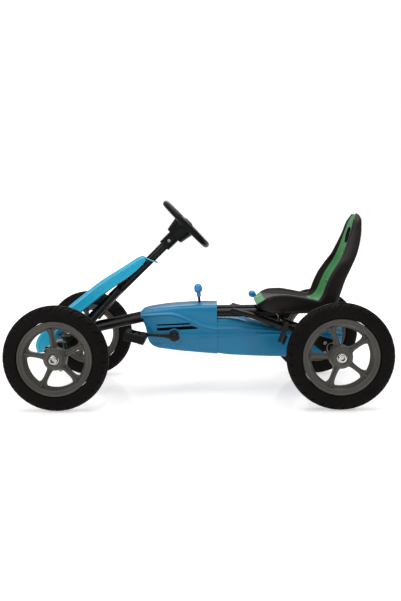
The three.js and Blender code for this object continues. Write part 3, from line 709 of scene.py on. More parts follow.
def add_rear_stays():
    for word, side in SIDES.items():
        route = [(104, 82, 266), (181, 88, 244), (276, 103, 211), (330, 107.5, 190), (368, 107.8, 174)]
        stay = Shape().add(tube([(x, side * y, z) for x, y, z in route], 9, 28, 40))
        carrier = strap((REAR_AXLE.x, REAR_AXLE.z), 27, (342, 184), 13)
        stay.add(plate(carrier, 116.3, 123.3), cross(0, 0, 0, side))
        lug = strap((BRAKE.x, BRAKE.z), 11, (BRAKE.x, 222), 7)
        stay.add(plate(lug, 98, 102, 0.5), cross(0, 0, 0, side))
        flange = [(0, 0), (21, 0), (21.6, 1), (21.2, 2.2), (11, 2.6), (0, 2.6)]
        stay.add(lathe(flange, 48), cross(REAR_AXLE.x, side * CARRIER_FACE_Y, REAR_AXLE.z, side))
        foot = plate(round_box(30, 18, 5), -2, 2, 0.6)
        stay.add(foot, aimed((112, side * 76, RAIL_Z + 4), (0, side, 0)))
        piece(f"fine_rear_stay_{word}", stay, [PAINT], "chassis", [f"rear_stay_{word}"])
        screws = Shape()
        for x, z in ((342, 184), (383, 138), (383, 168)):
            screws.add(bolt(7), cross(x, side * CARRIER_FACE_Y, z, side))
        piece(f"stay_bolts_{word}", screws, [STEEL], "chassis")


BEAM_Z = 156


def add_front_beam():
    beam_x = pivot("knuckle_left_turn").x
    king_y = pivot("knuckle_right_turn").y
    top, bottom = high("front_beam").z, low("front_beam").z
    beam = Shape().add(tube([(beam_x, -178, BEAM_Z), (beam_x, 178, BEAM_Z)], 14, 40))
    wall = 4.5
    for side in (-1, 1):
        inner, outer = king_y - 27, king_y + 12
        bar = strap((inner + 6, 0), 12.5, (outer - 10, 0), 10)
        for level in (bottom, top - wall):
            beam.add(plate(bar, level, level + wall, 0.6),
                     basis((0, side, 0), (1, 0, 0), (0, 0, 1), (beam_x, 0, 0)))
        web = round_box(25, top - bottom - 1, 3)
        beam.add(plate(web, inner, inner + 5, 0.6), cross(beam_x, 0, (top + bottom) / 2, side))
    for side in (-1, 1):
        lug = strap((beam_x, BEAM_Z), 19, RAIL_ROUTE[1], 15)
        beam.add(plate(lug, 50, 74, 1), cross(0, 0, 0, side))
    piece("fine_front_beam", beam, [PAINT], "chassis", ["front_beam"])


def add_kingpins():
    for word in SIDES:
        spot = pivot(f"knuckle_{word}_turn")
        place = shifted(spot.x, spot.y, 0)
        top, bottom = high("front_beam").z, low("front_beam").z
        pin = Shape().add(lathe([(0, 104), (4.6, 104), (5, 104.6), (5, top + 1), (0, top + 1)], 32), place)
        pin.add(lathe(bar(8.6, bottom - 1.2, bottom - 0.2, edge=0), 24), place)
        pin.add(plate(polygon(8.4, 6), bottom - 7, bottom - 1.2, 0.6), place)
        pin.add(lathe(bar(9.6, top + 0.2, top + 1.4, edge=0), 24), place)
        pin.add(plate(polygon(8.6, 6, 0.2), top + 1.4, top + 7, 0.7), place)
        piece(f"fine_kingpin_{word}", pin, [STEEL], "chassis", [f"kingpin_{word}"])


def add_knuckles():
    for word, side in SIDES.items():
        spot = pivot(f"knuckle_{word}_turn")
        eye = pivot(f"rod_{word}_turn")
        wheel = pivot(f"wheel_front_{word}_spin")
        upright = shifted(spot.x, spot.y, 0)
        knuckle = Shape()
        knuckle.add(lathe(bar(12, 119, 186.2, bore=5.4, edge=0.8), 40), upright)
        hub = abs(wheel.y - spot.y)
        stub = [(0, 0), (12.5, 0), (12.5, hub - 25.4), (11.6, hub - 24.5), (8, hub - 24.5), (8, hub + 26.2),
                (0, hub + 26.2)]
        knuckle.add(lathe(stub, 40), cross(spot.x, spot.y, wheel.z, side))
        arm = strap((0, 0), 12.6, ((eye.x - spot.x), abs(eye.y) - abs(spot.y)), 8)
        knuckle.add(plate(arm, 160, 166, 0.9),
                    basis((1, 0, 0), (0, side, 0), (0, 0, 1), (spot.x, spot.y, 0)))
        at_eye = shifted(eye.x, eye.y, 0)
        pin = [(0, 157), (5.5, 157), (5.5, 160.2), (3, 160.4), (3, 172.4), (0, 172.4)]
        knuckle.add(lathe(pin, 24), at_eye)
        knuckle.add(plate(polygon(5.8, 6), 172, 176, 0.4), at_eye)
        piece(f"fine_knuckle_{word}", knuckle, [PAINT], f"knuckle_{word}",
              [f"steering_knuckle_{word}"])

        rod = Shape()
        rod.add(lathe(bar(9, -2.6, 2.6, bore=3.5), 32), Matrix.Translation(eye))
        seat_at = COLUMN @ Vector((-26, side * 12.5, -532.6))
        ball_end = [(0, -2.4), (8.4, -2.4), (9, -1.8), (9, 1.8), (8.4, 2.6), (5.2, 2.8), (5, 6), (4.2, 6.8),
                    (0, 6.8)]
        rod.add(lathe(ball_end, 32), COLUMN @ shifted(-26, side * 12.5, -532.4))
        start = Vector((eye.x, side * (abs(eye.y) - 7), eye.z))
        end = Vector((seat_at.x + 1, side * 20, seat_at.z + 1))
        rod.add(tube([start, end], 3.1, 20, chamfer=0.3))
        along = (end - start).normalized()
        rod.add(tube([start + along * 6, start + along * 26], 4.2, 6, chamfer=0.4))
        rod.add(tube([end - along * 30, end - along * 10], 4.2, 6, chamfer=0.4))
        piece(f"fine_tie_rod_{word}", rod, [STEEL], f"rod_{word}", [f"tie_rod_{word}"])


# ---------------------------------------------------------------- steering column and wheel
def add_column():
    tube_low, tube_high = -440, -98.3
    column = Shape().add(lathe(bar(14, tube_low, tube_high, bore=11.6, rise=0.8), 48), COLUMN)
    top_plate = plate(round_box(62, 34, 4), -1.6, 1.6, 0.5)
    column.add(top_plate, COLUMN @ shifted(-13, 0, -302) @ Matrix.Rotation(math.pi / 2, 4, "Y"))
    piece("fine_column_tube", column, [PAINT], "chassis", ["column_tube"])

    ring = [(6.4, -98), (18.6, -98), (19.5, -97), (19.5, -89.6), (18.8, -88.7), (6.4, -88.7), (6.4, -98)]
    collar = Shape().add(lathe(ring, 40), COLUMN)
    piece("fine_column_collar", collar, [DARK], "chassis", ["column_collar"])
    bush = Shape().add(lathe(bar(11.2, tube_low, -426, bore=6.4, edge=0), 32), COLUMN)
    piece("fine_column_bush", bush, [DARK], "chassis", ["column_bush"])

    for word, side in SIDES.items():
        top = COLUMN @ Vector((0, side * 24.5, -296))
        foot = Vector((-338, side * 60.5, 232.5))
        leg = Shape().add(tube([top, foot], 10, 32))
        sleeve_end = top + (foot - top) * 0.16
        leg.add(tube([top - (foot - top).normalized() * 2, sleeve_end], 11.4, 32, chamfer=1.2))
        piece(f"fine_column_leg_{word}", leg, [PAINT], "chassis", [f"column_leg_{word}"])

    shaft = Shape().add(lathe([(0, -546), (5.4, -546), (6, -545.2), (6, -56), (0, -56)], 32), COLUMN)
    pitman = [(-35, -23), (-4, -13), (4, -11), (11, -4), (11, 4), (4, 11), (-4, 13), (-35, 23)]
    shaft.add(plate(pitman, -540.5, -535.5, 0.6), COLUMN)
    piece("fine_steering_shaft", shaft, [PAINT], "steering", ["steering_shaft"])


def grip_radius(around):
    """Tube radius of the wheel rim, with the moulding seam on its outer flank."""
    return 9.8 - 0.5 * math.exp(-((math.cos(around) - 0.93) / 0.05) ** 2)


def add_steering_wheel():
    ring = []
    for k in range(216):
        turn = TURN * k / 216
        row = []
        for j in range(28):
            around = TURN * j / 28
            r = grip_radius(around)
            out = 90 + r * math.cos(around)
            row.append((*polar(out, turn), r * math.sin(around)))
        ring.append(row)
    wheel = Shape().add(grid(ring, closed=True), COLUMN)
    boss = [(0, 13.4), (14, 12.6), (25, 10), (33.5, 5.6), (38, 0.4), (39, -4), (38.6, -8.4), (37.4, -9.6),
            (37.6, -14), (35.6, -24), (33, -38), (31, -50), (30, -52.6), (27, -53.8), (20.4, -54.4),
            (19.5, -57), (19.5, -86.4), (18.7, -88.1), (6.4, -88.1), (6.4, -60), (0, -60)]
    wheel.add(lathe(boss, 72), COLUMN)
    for spin in (0, 120, 240):
        a = math.radians(spin)
        rows = []
        for r in spread(26, 86, 13):
            t = (r - 26) / 60
            wide = 15.5 - 6.5 * t + 5 * ease(0.8, 1.0, t)
            h = -4.5 + 1.5 * math.sin(math.pi * t)
            thick = 4.4 - 0.8 * t
            top = [(-wide, h), (-wide + 1.5, h + thick * 0.7), (-wide + 5, h + thick), (-3, h + thick * 0.8)]
            bottom = [(wide - 2, h - thick * 0.8), (4, h - thick)]
            profile = (top + [(-s, z) for s, z in reversed(top)]
                       + bottom + [(-s, z) for s, z in reversed(bottom)])
            rows.append([(*spoke_point(r, s, a), z) for s, z in profile])
        wheel.add(grid(rows), COLUMN)
    piece("fine_steering_wheel", wheel, [DARK], "steering", ["steering_wheel"], 36)

    dome = [(0, 14.6), (10, 14.3), (14.4, 13.6), (15.2, 12.6), (15, 11.4), (0, 11.4)]
    pad = Shape().add(lathe(dome, 48), COLUMN)
    piece("steering_pad_cap", pad, [SEAT_DARK], "steering")
    screw = Shape().add(bolt(6.5, 5), COLUMN @ aimed((0, -19.3, -74), (0, -1, 0)))
    screw.add(bolt(6.5, 5), COLUMN @ aimed((0, 19.3, -74), (0, 1, 0)))
    piece("steering_clamp_bolts", screw, [CHROME], "steering")


# ---------------------------------------------------------------- drive
CHAIN_Y = 30
PITCH = 12.7
CHAINWHEEL_TEETH = 16
SPROCKET_TEETH = 12
CHAIN_LINKS = 90
CHAIN_LEAN = math.atan2(REAR_AXLE.z - CRANK.z, REAR_AXLE.x - CRANK.x)


def pitch_radius(teeth):
    return PITCH / (2 * math.sin(math.pi / teeth))


def toothed(teeth):
    """Outline of a chain sprocket: a round seat for each roller between the teeth."""
    outline = []
    centre = pitch_radius(teeth)
    for k in range(teeth):
        a = TURN * (k + 0.5) / teeth + CHAIN_LEAN
        for out, share in ((-4.1, -0.5), (-3.4, -0.3), (-0.6, -0.22), (2.6, -0.12), (3.6, 0), (2.6, 0.12),
                           (-0.6, 0.22), (-3.4, 0.3)):
            outline.append(polar(centre + out, a + TURN / teeth * share))
    return outline


def add_sprockets():
    for node, teeth, spot, body in (("chainwheel", CHAINWHEEL_TEETH, CRANK, "crankset"),
                                    ("rear_sprocket", SPROCKET_TEETH, REAR_AXLE, "rear_drive")):
        place = cross(spot.x, CHAIN_Y, spot.z)
        wheel = Shape().add(plate(toothed(teeth), -1.4, 1.4, 0.5), place)
        wheel.add(lathe(bar(14, -9, 9, bore=8.3), 40), place)
        piece(f"fine_{node}", wheel, [STEEL], body, [node])


def chain_route(count):
    """Where each pin of the chain lies, as (x, z)."""
    a, b = Vector((CRANK.x, CRANK.z)), Vector((REAR_AXLE.x, REAR_AXLE.z))
    ra, rb = pitch_radius(CHAINWHEEL_TEETH), pitch_radius(SPROCKET_TEETH)
    turn = math.acos((ra - rb) / (b - a).length)
    over, under = (Vector(polar(1, CHAIN_LEAN + sign * turn)) for sign in (1, -1))
    straight = (b - a).length * math.sin(turn)
    front_wrap, rear_wrap = (TURN - 2 * turn) * ra, 2 * turn * rb
    top_end, front_end = rear_wrap + straight, rear_wrap + straight + front_wrap
    total = front_end + straight
    route = []
    for k in range(count):
        s = total * k / count
        if s < rear_wrap:
            route.append(b + Vector(polar(1, CHAIN_LEAN - turn + s / rb)) * rb)
        elif s < top_end:
            route.append((b + over * rb).lerp(a + over * ra, (s - rear_wrap) / straight))
        elif s < front_end:
            route.append(a + Vector(polar(1, CHAIN_LEAN + turn + (s - top_end) / ra)) * ra)
        else:
            route.append((a + under * ra).lerp(b + under * rb, (s - front_end) / straight))
    return route


ROLLER = [(0, -3.9), (1.6, -3.9), (1.6, -1.8), (3.5, -1.7), (3.5, 1.7), (1.6, 1.8), (1.6, 3.9), (0, 3.9)]


def add_chain():
    route = chain_route(CHAIN_LINKS)
    chain = Shape()
    for k, here in enumerate(route):
        there = route[(k + 1) % len(route)]
        middle, along = (here + there) / 2, there - here
        angle = math.atan2(along.y, along.x)
        turn = Matrix.Rotation(angle, 4, "Z")
        place = cross(middle.x, CHAIN_Y, middle.y) @ turn
        half = along.length / 2
        ends = arc(0, 0, 3.9, -60, 60, 5)
        outline = ([(half + x, y) for x, y in ends] + [(0, 2.5)]
                   + [(-half - x, -y) for x, y in ends] + [(0, -2.5)])
        level = 2.0 if k % 2 else 2.9
        for side in (-1, 1):
            chain.add(plate(outline, side * level - 0.4, side * level + 0.4, 0.2), place)
        chain.add(lathe(ROLLER, 10), cross(here.x, CHAIN_Y, here.y))
    piece("fine_chain", chain, [CHAIN_STEEL], "chassis", ["chain"])


def add_cranks():
    reach = 99
    axle = Shape().add(lathe(bar(8, -reach, reach, edge=0.8), 40), cross(CRANK.x, 0, CRANK.z))
    piece("fine_crank_axle", axle, [STEEL], "crankset", ["crank_axle"])
    for word, side in SIDES.items():
        tip = pivot(f"pedal_{word}_spin")
        angle = math.atan2(tip.z - CRANK.z, tip.x - CRANK.x)
        length = math.hypot(tip.x - CRANK.x, tip.z - CRANK.z)
        place = cross(CRANK.x, side * 92, CRANK.z, side) @ Matrix.Rotation(angle, 4, "Z")
        half = smooth([[14, 8.5], [26, 6.2], [45, 4.8], [80, 4.6], [length - 12, 5.2], [length - 8, 7.0]])
        along = spread(14, length - 8, 14)
        outline = ([(x, -half(x)[0]) for x in along] + arc(length, 0, 9, -60, 60, 9)
                   + [(x, half(x)[0]) for x in reversed(along)] + arc(0, 0, 14.6, 42, 318, 22))
        arm = Shape().add(plate(outline, -4.6, 4.6, 1.6), place)
        hub = [(0, -6.5), (14.4, -6.5), (15, -5.8), (15, 5.4), (13.8, 6.6), (9.5, 7), (9.2, 9.5), (8.2, 10.6),
               (0, 10.8)]
        arm.add(lathe(hub, 48), place)
        pedal_axle = [(0, -5), (9, -5), (9, 5.5), (7.5, 6.6), (5, 7), (5, 89 - 1), (4.4, 89), (0, 89)]
        arm.add(lathe(pedal_axle, 32), place @ shifted(length, 0, 0))
        piece(f"fine_crank_arm_{word}", arm, [PAINT], "crankset", [f"crank_arm_{word}"])


def add_pedals():
    """A barrel on the spindle, a ribbed tread in front and one behind, and four plates across them."""
    for word, side in SIDES.items():
        tip = pivot(f"pedal_{word}_spin")
        place = cross(tip.x, 0, tip.z, side) @ Matrix.Rotation(math.radians(-14), 4, "Z")
        inner, outer = 107, 185
        barrel = [(5.6, inner + 0.5), (9.6, inner + 0.5), (9.6, outer - 2), (8.4, outer - 0.4), (0, outer),
                  (0, outer - 3), (5.6, outer - 3), (5.6, inner + 0.5)]
        pedal = Shape().add(lathe(barrel, 32), place)
        for x in (-22, 22):
            tread = round_box(18, 27, 4, x)
            pedal.add(plate(tread, inner + 3, outer - 3, 1.2), place)
            for k in range(9):
                y = inner + 9 + k * 7.6
                for z in (-13.4, 13.4):
                    pedal.add(plate(round_box(17, 2.6, 1, x, z), y - 1.6, y + 1.6, 0.5), place)
        for y in (inner, outer - 5):
            cheek = strap((-20.5, 0), 12.6, (20.5, 0), 12.5)
            pedal.add(plate(cheek, y, y + 5, 1.2), place)
        for y in (inner + 26, outer - 31):
            pedal.add(plate(round_box(50, 16, 3), y, y + 4, 0.8), place)
        piece(f"fine_pedal_{word}", pedal, [DARK], f"pedal_{word}", [f"pedal_{word}"])


def add_rear_axle():
    end = high("rear_axle").y - 4
    axle = Shape().add(lathe(bar(8, -end, end, rise=0.8), 40), cross(REAR_AXLE.x, 0, REAR_AXLE.z))
    for y in (104, -104):
        stop = bar(13, -6, 6, bore=8, edge=0.4, rise=0.6)
        axle.add(lathe(stop, 32), cross(REAR_AXLE.x, y, REAR_AXLE.z))
    a = math.radians(34)
    out = Vector((math.cos(a) * 20, 0, math.sin(a) * 20))
    hub = Vector((REAR_AXLE.x, high("tyre_rear_right").y - 50, REAR_AXLE.z))
    axle.add(tube([hub - out, hub + out], 2.8, 16, chamfer=0.5))
    piece("fine_rear_axle", axle, [STEEL], "rear_drive", ["rear_axle"])


# ---------------------------------------------------------------- blue body shells
SHELL_T = 2.6
SEAM_X = low("rear_shell_left").x
SHELL_END = high("rear_shell_left").x

# x, top, ridge, lower step, bottom, half width
FRONT_SHELL = smooth([
    (-180, 266, 252.5, 183, 150, 80), (-164, 271, 252.5, 183, 150, 82), (-140, 275, 253.5, 183, 148, 83.5),
    (-106, 279.5, 255, 183, 144, 84), (-84, 281.5, 254.5, 183, 141, 84), (-68, 282.5, 251, 183.4, 138.5, 84),
    (-27, 284.6, 235, 184.4, 134.5, 84), (19, 285.4, 214.5, 185.2, 130, 83.5),
    (SEAM_X - 0.6, 285.6, 207.8, 185.7, 126.5, 83),
])
REAR_START = SEAM_X - 8
REAR_SHELL = smooth([
    (REAR_START, 244.5, 207.8, 185.8, 129.6, 79.6), (SEAM_X, 244.5, 207.8, 185.8, 128.4, 79.6),
    (97, 243.5, 207.8, 186.6, 123, 78.6), (130, 238, 207.6, 187.4, 121, 78),
    (168, 225, 206, 188.4, 118.5, 76), (211, 214, 202, 188.6, 116, 72), (256, 205, 197, 187, 114, 67),
    (300, 205, 193, 184, 113.5, 64), (343, 210, 191, 182, 113.5, 62), (426, 210, 189, 181, 115.5, 60),
    (SHELL_END - 1, 206, 186, 178, 150, 57),
])
# The front edge of the front shell: its x at each height.
FRONT_EDGE = smooth([
    (136, -52), (141, -68), (147, -121), (156, -143), (168, -155), (179, -159), (198, -162), (229, -171),
    (238, -178), (250, -179.8), (266, -180), (290, -180),
])


def shell_half(top, ridge, step, bottom, wide):
    """Half a shell section from top centre to bottom centre, as (y, z)."""
    h, g = top - ridge, ridge - step
    return [
        (0, top), (wide * 0.3, top - 0.2), (wide * 0.55, top - 0.7), (wide - 24, top - 1.8),
        (wide - 17, top - min(h * 0.14, 3.4)), (wide - 12, top - min(h * 0.27, 6.4)),
        (wide - 8.4, top - min(h * 0.42, 10.6)), (wide - 6.2, top - min(h * 0.6, 17)),
        (wide - 6.4, ridge + max(h * 0.32, 0)), (wide - 6.0, ridge + min(h * 0.26, 9.4)),
        (wide - 0.8, ridge + min(h * 0.05, 1.2)), (wide, ridge), (wide - 0.9, ridge - min(g * 0.1, 2)),
        (wide - 3.2, ridge - min(g * 0.18, 3.6)), (wide - 4.8, ridge - min(g * 0.28, 5.6)),
        (wide - 5.4, ridge - min(g * 0.4, 9)), (wide - 5.4, (ridge + step) / 2),
        (wide - 4.6, step + min(g * 0.36, 9)), (wide - 3.0, step + min(g * 0.22, 5)),
        (wide - 1.8, step + min(g * 0.1, 2.4)), (wide - 2.2, step), (wide - 4.4, step - 1.6),
        (wide - 6.8, step - 3.6), (wide - 7.8, step - 8), (wide - 9.4, (step * 2 + bottom) / 3),
        (wide - 12, (step + bottom * 2) / 3), (wide - 15.5, bottom + 7), (wide - 19, bottom + 2.6),
        (wide - 24, bottom + 0.6), (wide - 32, bottom), (wide * 0.3, bottom), (0, bottom),
    ]


def finer(points, parts=3):
    result = []
    for (a, b), (c, d) in zip(points, points[1:]):
        result += [(a + (c - a) * k / parts, b + (d - b) * k / parts) for k in range(parts)]
    return [*result, points[-1]]


def lip(x, z, edge):
    """How far the front shell stands out beside its front edge: a raised band behind a sunk border."""
    share = ease(243, 236, z) * ease(150, 168, z) if z < 243 else 0.0
    band = edge + 9 + max(232 - z, 0) * 0.34
    sunk = -5.2 * (1 - ease(band - 2.4, band + 1.2, x))
    raised = 2.2 * ease(band - 1, band + 2.5, x) * (1 - ease(band + 6, band + 11, x))
    return (sunk + raised) * share


def shell_rows(table, side, columns, rear_x, front_edge=None):
    """Outer and inner rows of one half shell, front to rear."""
    outer, inner = [], []
    for u in columns:
        out_row, in_row = [], []
        count = len(finer(shell_half(*table(rear_x))))
        for j in range(count):
            x = rear_x * u + (1 - u) * -100
            for _ in range(8 if front_edge else 1):
                y, z = finer(shell_half(*table(x)))[j]
                start = front_edge(z)[0] if front_edge else REAR_START
                x = start + (rear_x - start) * u
            y, z = finer(shell_half(*table(x)))[j]
            if front_edge:
                y = max(y + lip(x, z, front_edge(z)[0]) * min(y / 60, 1), 0)
            share = j / (count - 1)
            drop = SHELL_T * math.cos(math.pi * share)
            out_row.append((x, side * max(y, 0.15), z))
            in_row.append((x, side * max(y - SHELL_T, 0.15), z - drop))
        outer.append(out_row)
        inner.append(in_row)
    return outer, inner


def skin(outer, inner):
    """A closed skin between two matching sheets of points."""
    rows = [[*a, *reversed(b)] for a, b in zip(outer, inner)]
    points, faces = grid(rows, caps=False)
    count = len(outer[0])
    loop = 2 * count
    for start in (0, (len(rows) - 1) * loop):
        for i in range(count - 1):
            faces.append((start + i, start + i + 1, start + loop - 2 - i, start + loop - 1 - i))
    return points, faces


def slot_cutter(outline, side):
    middle = Vector((sum(x for x, _ in outline), sum(z for _, z in outline))) / len(outline)
    turned = [(x - middle.x, z - middle.y) for x, z in outline]
    return Shape().add(plate(turned, 60, 100, 0.01), cross(middle.x, 0, middle.y, side))


UPPER_VENT = [(-131, 219.6), (-27.5, 222.6), (-23.4, 225), (-31, 227.6), (-131, 224)]
LOWER_VENT = [(-127.5, 203.6), (-8, 208.6), (0, 211), (-20, 218.4), (-131, 212.6)]


def add_shells():
    near = [0, 0.006, 0.014, 0.024, 0.035, 0.046, 0.058, 0.07, 0.083, 0.097, 0.112, 0.13, 0.15, 0.175]
    columns = near + spread(0.2, 0.97, 44) + [0.985, 0.993, 1.0]
    rear_columns = [0, 0.003, 0.008] + spread(0.02, 0.98, 70) + [0.99, 1.0]
    for word, side in SIDES.items():
        outer, inner = shell_rows(FRONT_SHELL, side, columns, SEAM_X - 0.6, FRONT_EDGE)
        front = piece(f"fine_front_shell_{word}", Shape().add(skin(outer, inner)), [BLUE, DARK], "chassis",
                      [f"front_shell_{word}"], 34)
        hole = Shape().add(lathe(bar(17, 40, 110, edge=0), 48), cross(CRANK.x, 0, CRANK.z, side))
        lever = Shape().add(plate(round_box(54, 14, 6.9), 240, 300, 0.01), shifted(SHIFT.x - 2, 0, 0))
        carve(front, slot_cutter(UPPER_VENT, side), slot_cutter(LOWER_VENT, side), hole, lever)

        ring = [(17, -7), (21.8, -7), (22, 0.4), (21, 1.8), (18.2, 2.2), (17.2, 1.6), (17, -7)]
        trim = Shape().add(lathe(ring, 64), cross(CRANK.x, side * 79.2, CRANK.z, side))
        piece(f"crank_hole_trim_{word}", trim, [BLUE], "chassis")

        # A dark sheet behind the vent slots: painted shade where the inside of the shell lies in shadow.
        shade_sheet = Shape()
        for outline in (UPPER_VENT, LOWER_VENT):
            shade_sheet.add(plate(inset(outline, -3), 70.6, 72.2, 0.2), cross(0, 0, 0, side))
        piece(f"vent_shade_sheet_{word}", shade_sheet, [VENT_PAINTED_SHADE], "chassis")

        outer, inner = shell_rows(REAR_SHELL, side, rear_columns, SHELL_END - 1)
        rear = Shape().add(skin(outer, inner))
        end = shell_half(*REAR_SHELL(SHELL_END - 1))
        wall = [(max(y, 0.15), z) for y, z in end[:-1]] + [(0.15, end[-1][1])]
        rear.add(grid([[(SHELL_END - 3, side * y, z) for y, z in wall],
                       [(SHELL_END - 0.6, side * y, z) for y, z in wall],
                       [(SHELL_END, side * max(y - 0.8, 0.15), 182 + (z - 182) * 0.98) for y, z in wall]]))
        rear_shell = piece(f"fine_rear_shell_{word}", rear, [BLUE, DARK], "chassis",
                           [f"rear_shell_{word}"], 34)
        at_axle = cross(REAR_AXLE.x, 0, REAR_AXLE.z, side)
        axle_hole = Shape().add(lathe(bar(13, 40, 110, edge=0), 48), at_axle)
        carve(rear_shell, axle_hole)


# ---------------------------------------------------------------- nose panel
# x, z of the top centre, direction of the side walls in degrees, wall depth, half width
NOSE_ROWS = [
    (-170, 430.4, -66, 3, 20), (-174.5, 433.4, -64, 13, 21.4), (-180, 434.6, -62, 21, 22.4),
    (-190, 431.2, -60, 27, 24.2), (-222, 412, -57, 34.5, 31), (-262, 388, -54, 38.5, 38),
    (-309, 359, -53, 38.5, 43.5), (-368, 315, -52, 39, 49), (-426, 269, -48, 36.5, 54),
    (-466, 233, -42, 35, 57), (-500, 199, -30, 47, 58), (-517, 172, -10, 61, 58), (-521, 154, -2, 65, 57),
    (-517, 134, 3, 57, 54),
]
NOSE_T = 2.4


def nose_section(wide, depth, thick):
    """Half a section as (distance across, distance down the wall)."""
    return [
        (0, thick + 0.2), (wide * 0.35, thick), (wide * 0.62, thick + 0.2), (wide - 12 - thick, thick + 0.9),
        (wide - 7.5 - thick, thick + 2), (wide - 4 - thick, thick + 4), (wide - 1.8 - thick, thick + 6.6),
        (wide - 0.9 - thick, thick * 0.4 + 9.4), (wide - 0.4 - thick, 11), (wide - 0.1 - thick, 12.2),
        (wide - 0.9 - thick, 13.2), (wide - 1.1 - thick, 15), (wide - 0.9 - thick, depth * 0.55),
        (wide - 0.5 - thick, depth * 0.75), (wide - 0.4 - thick, depth - 5),
        (wide + 0.1 - thick, depth - 3.6),
        (wide + 0.1 - thick, depth - 1), (wide - 0.6 - thick, depth),
    ]


def add_nose():
    table = smooth([(k, *row) for k, row in enumerate(NOSE_ROWS)])
    outer, inner = [], []
    for key in spread(0, len(NOSE_ROWS) - 1, 118):
        x, z, degrees, depth, wide = table(key)
        a = math.radians(degrees)
        for rows, thick in ((outer, 0), (inner, NOSE_T)):
            half = nose_section(wide, depth, thick)
            full = [(-y, d) for y, d in reversed(half)] + half[1:]
            rows.append([(x + math.cos(a) * d, y, z + math.sin(a) * d) for y, d in full])
    panel = Shape().add(skin(outer, inner))

    # The tongue at the top end runs round the column.
    plane = aimed((-148, 0, 420.5), (math.sin(math.radians(23.4)), 0, math.cos(math.radians(23.4))))
    hole, border = [], []
    for k in range(64):
        a = TURN * k / 64
        reach = 21 if math.cos(a) > 0 else 25.4
        hole.append((15.4 * math.cos(a), 16.8 * math.sin(a)))
        border.append((reach * math.cos(a), 21.6 * math.copysign(abs(math.sin(a)) ** 0.55, math.sin(a))))
    rows = [[(x, y, h) for x, y in shape] for shape, h in
            ((hole, -1.4), (border, -1.4), (border, 1.4), (hole, 1.4))]
    panel.add(grid(rows, closed=True, caps=False), plane)
    piece("fine_nose_panel", panel, [NOSE], "chassis", ["nose_panel"], 36)


# ---------------------------------------------------------------- seat
# crest x and z, back or underside x and z, half width, hollow, bolster
# A place along the seat is a row's number, its key; the front lip and the cushion end at these.
LIP_END, CUSHION_END = 1.7, 6.6
HANDLE_HOLE = (480, 0, 491)
HANDLE_LEAN = 12
SEAT_ROWS = [
    (178, 286, 182, 276, 108, 2, 16), (192, 298, 197, 269, 135, 6, 18), (210, 310, 214, 265, 147, 11, 20),
    (234, 317, 236, 262.5, 150, 16, 22), (264, 318, 264, 262, 150, 18, 22), (304, 312, 302, 262, 150, 18, 22),
    (336, 305, 338, 262, 150, 17, 22), (358, 300, 384, 268, 150, 18, 24), (371, 313, 414, 287, 150, 24, 26),
    (381, 338, 428, 322, 149, 28, 28), (394, 367, 441, 358, 147, 28, 28), (416, 402, 463, 402, 139, 28, 28),
    (437, 433, 481, 438, 122, 20, 28), (453, 468, 493, 474, 102, 12, 26), (466, 501, 500, 506, 85, 7, 22),
    (478, 538, 503, 538, 66, 5, 18), (490, 559, 499, 554, 40, 3, 12),
]
# Points of seat_section: the one that carries the piping, and the first of the hollow.
PIPING = 16
HOLLOW_FROM = 21


def seat_section(wide, length, hollow, bolster, lift):
    """Half a section as (distance across, distance from the back); the crest is at length."""
    step = min(13, length * 0.42)
    round_off = min(8, length * 0.4)
    flank = min(wide - step - 2, 104)
    mid = min(flank - 4, 96)
    floor = max(length - hollow, lift + 3)
    edge = wide - bolster
    dish = max(edge - 22, 6)
    return [
        (0, lift), (mid * 0.5, lift), (mid, lift), (mid + (flank - mid) * 0.5, lift * 0.5), (flank, 0),
        (wide - step - 1, 0), (wide - step * 0.5, step * 0.14), (wide - step * 0.16, step * 0.5),
        (wide, step),
        (wide, step + (length - step - round_off) * 0.5), (wide - 0.4, length - round_off),
        (wide - round_off * 0.2, length - round_off * 0.5),
        (wide - round_off * 0.5, length - round_off * 0.16), (wide - round_off, length),
        (wide - round_off - (bolster - round_off) * 0.35, length + 0.2),
        (edge + 3, length - 0.6), (edge + 0.6, length - 2.2), (edge - 0.8, length - min(hollow * 0.25, 5)),
        (edge - 3, length - hollow * 0.42), (edge - 7, length - hollow * 0.66),
        (edge - 13, length - hollow * 0.88),
        (dish, floor + 1), (dish * 0.75, floor), (dish * 0.5, floor), (dish * 0.25, floor), (0, floor),
    ]


def green_from(key):
    """The face of a section, counted from its middle at the back, where the green skin starts; the cushion
    gets none, a painted shade where it faces up.
    """
    if key < LIP_END:
        return 12
    if key < CUSHION_END:
        return 40
    return 19


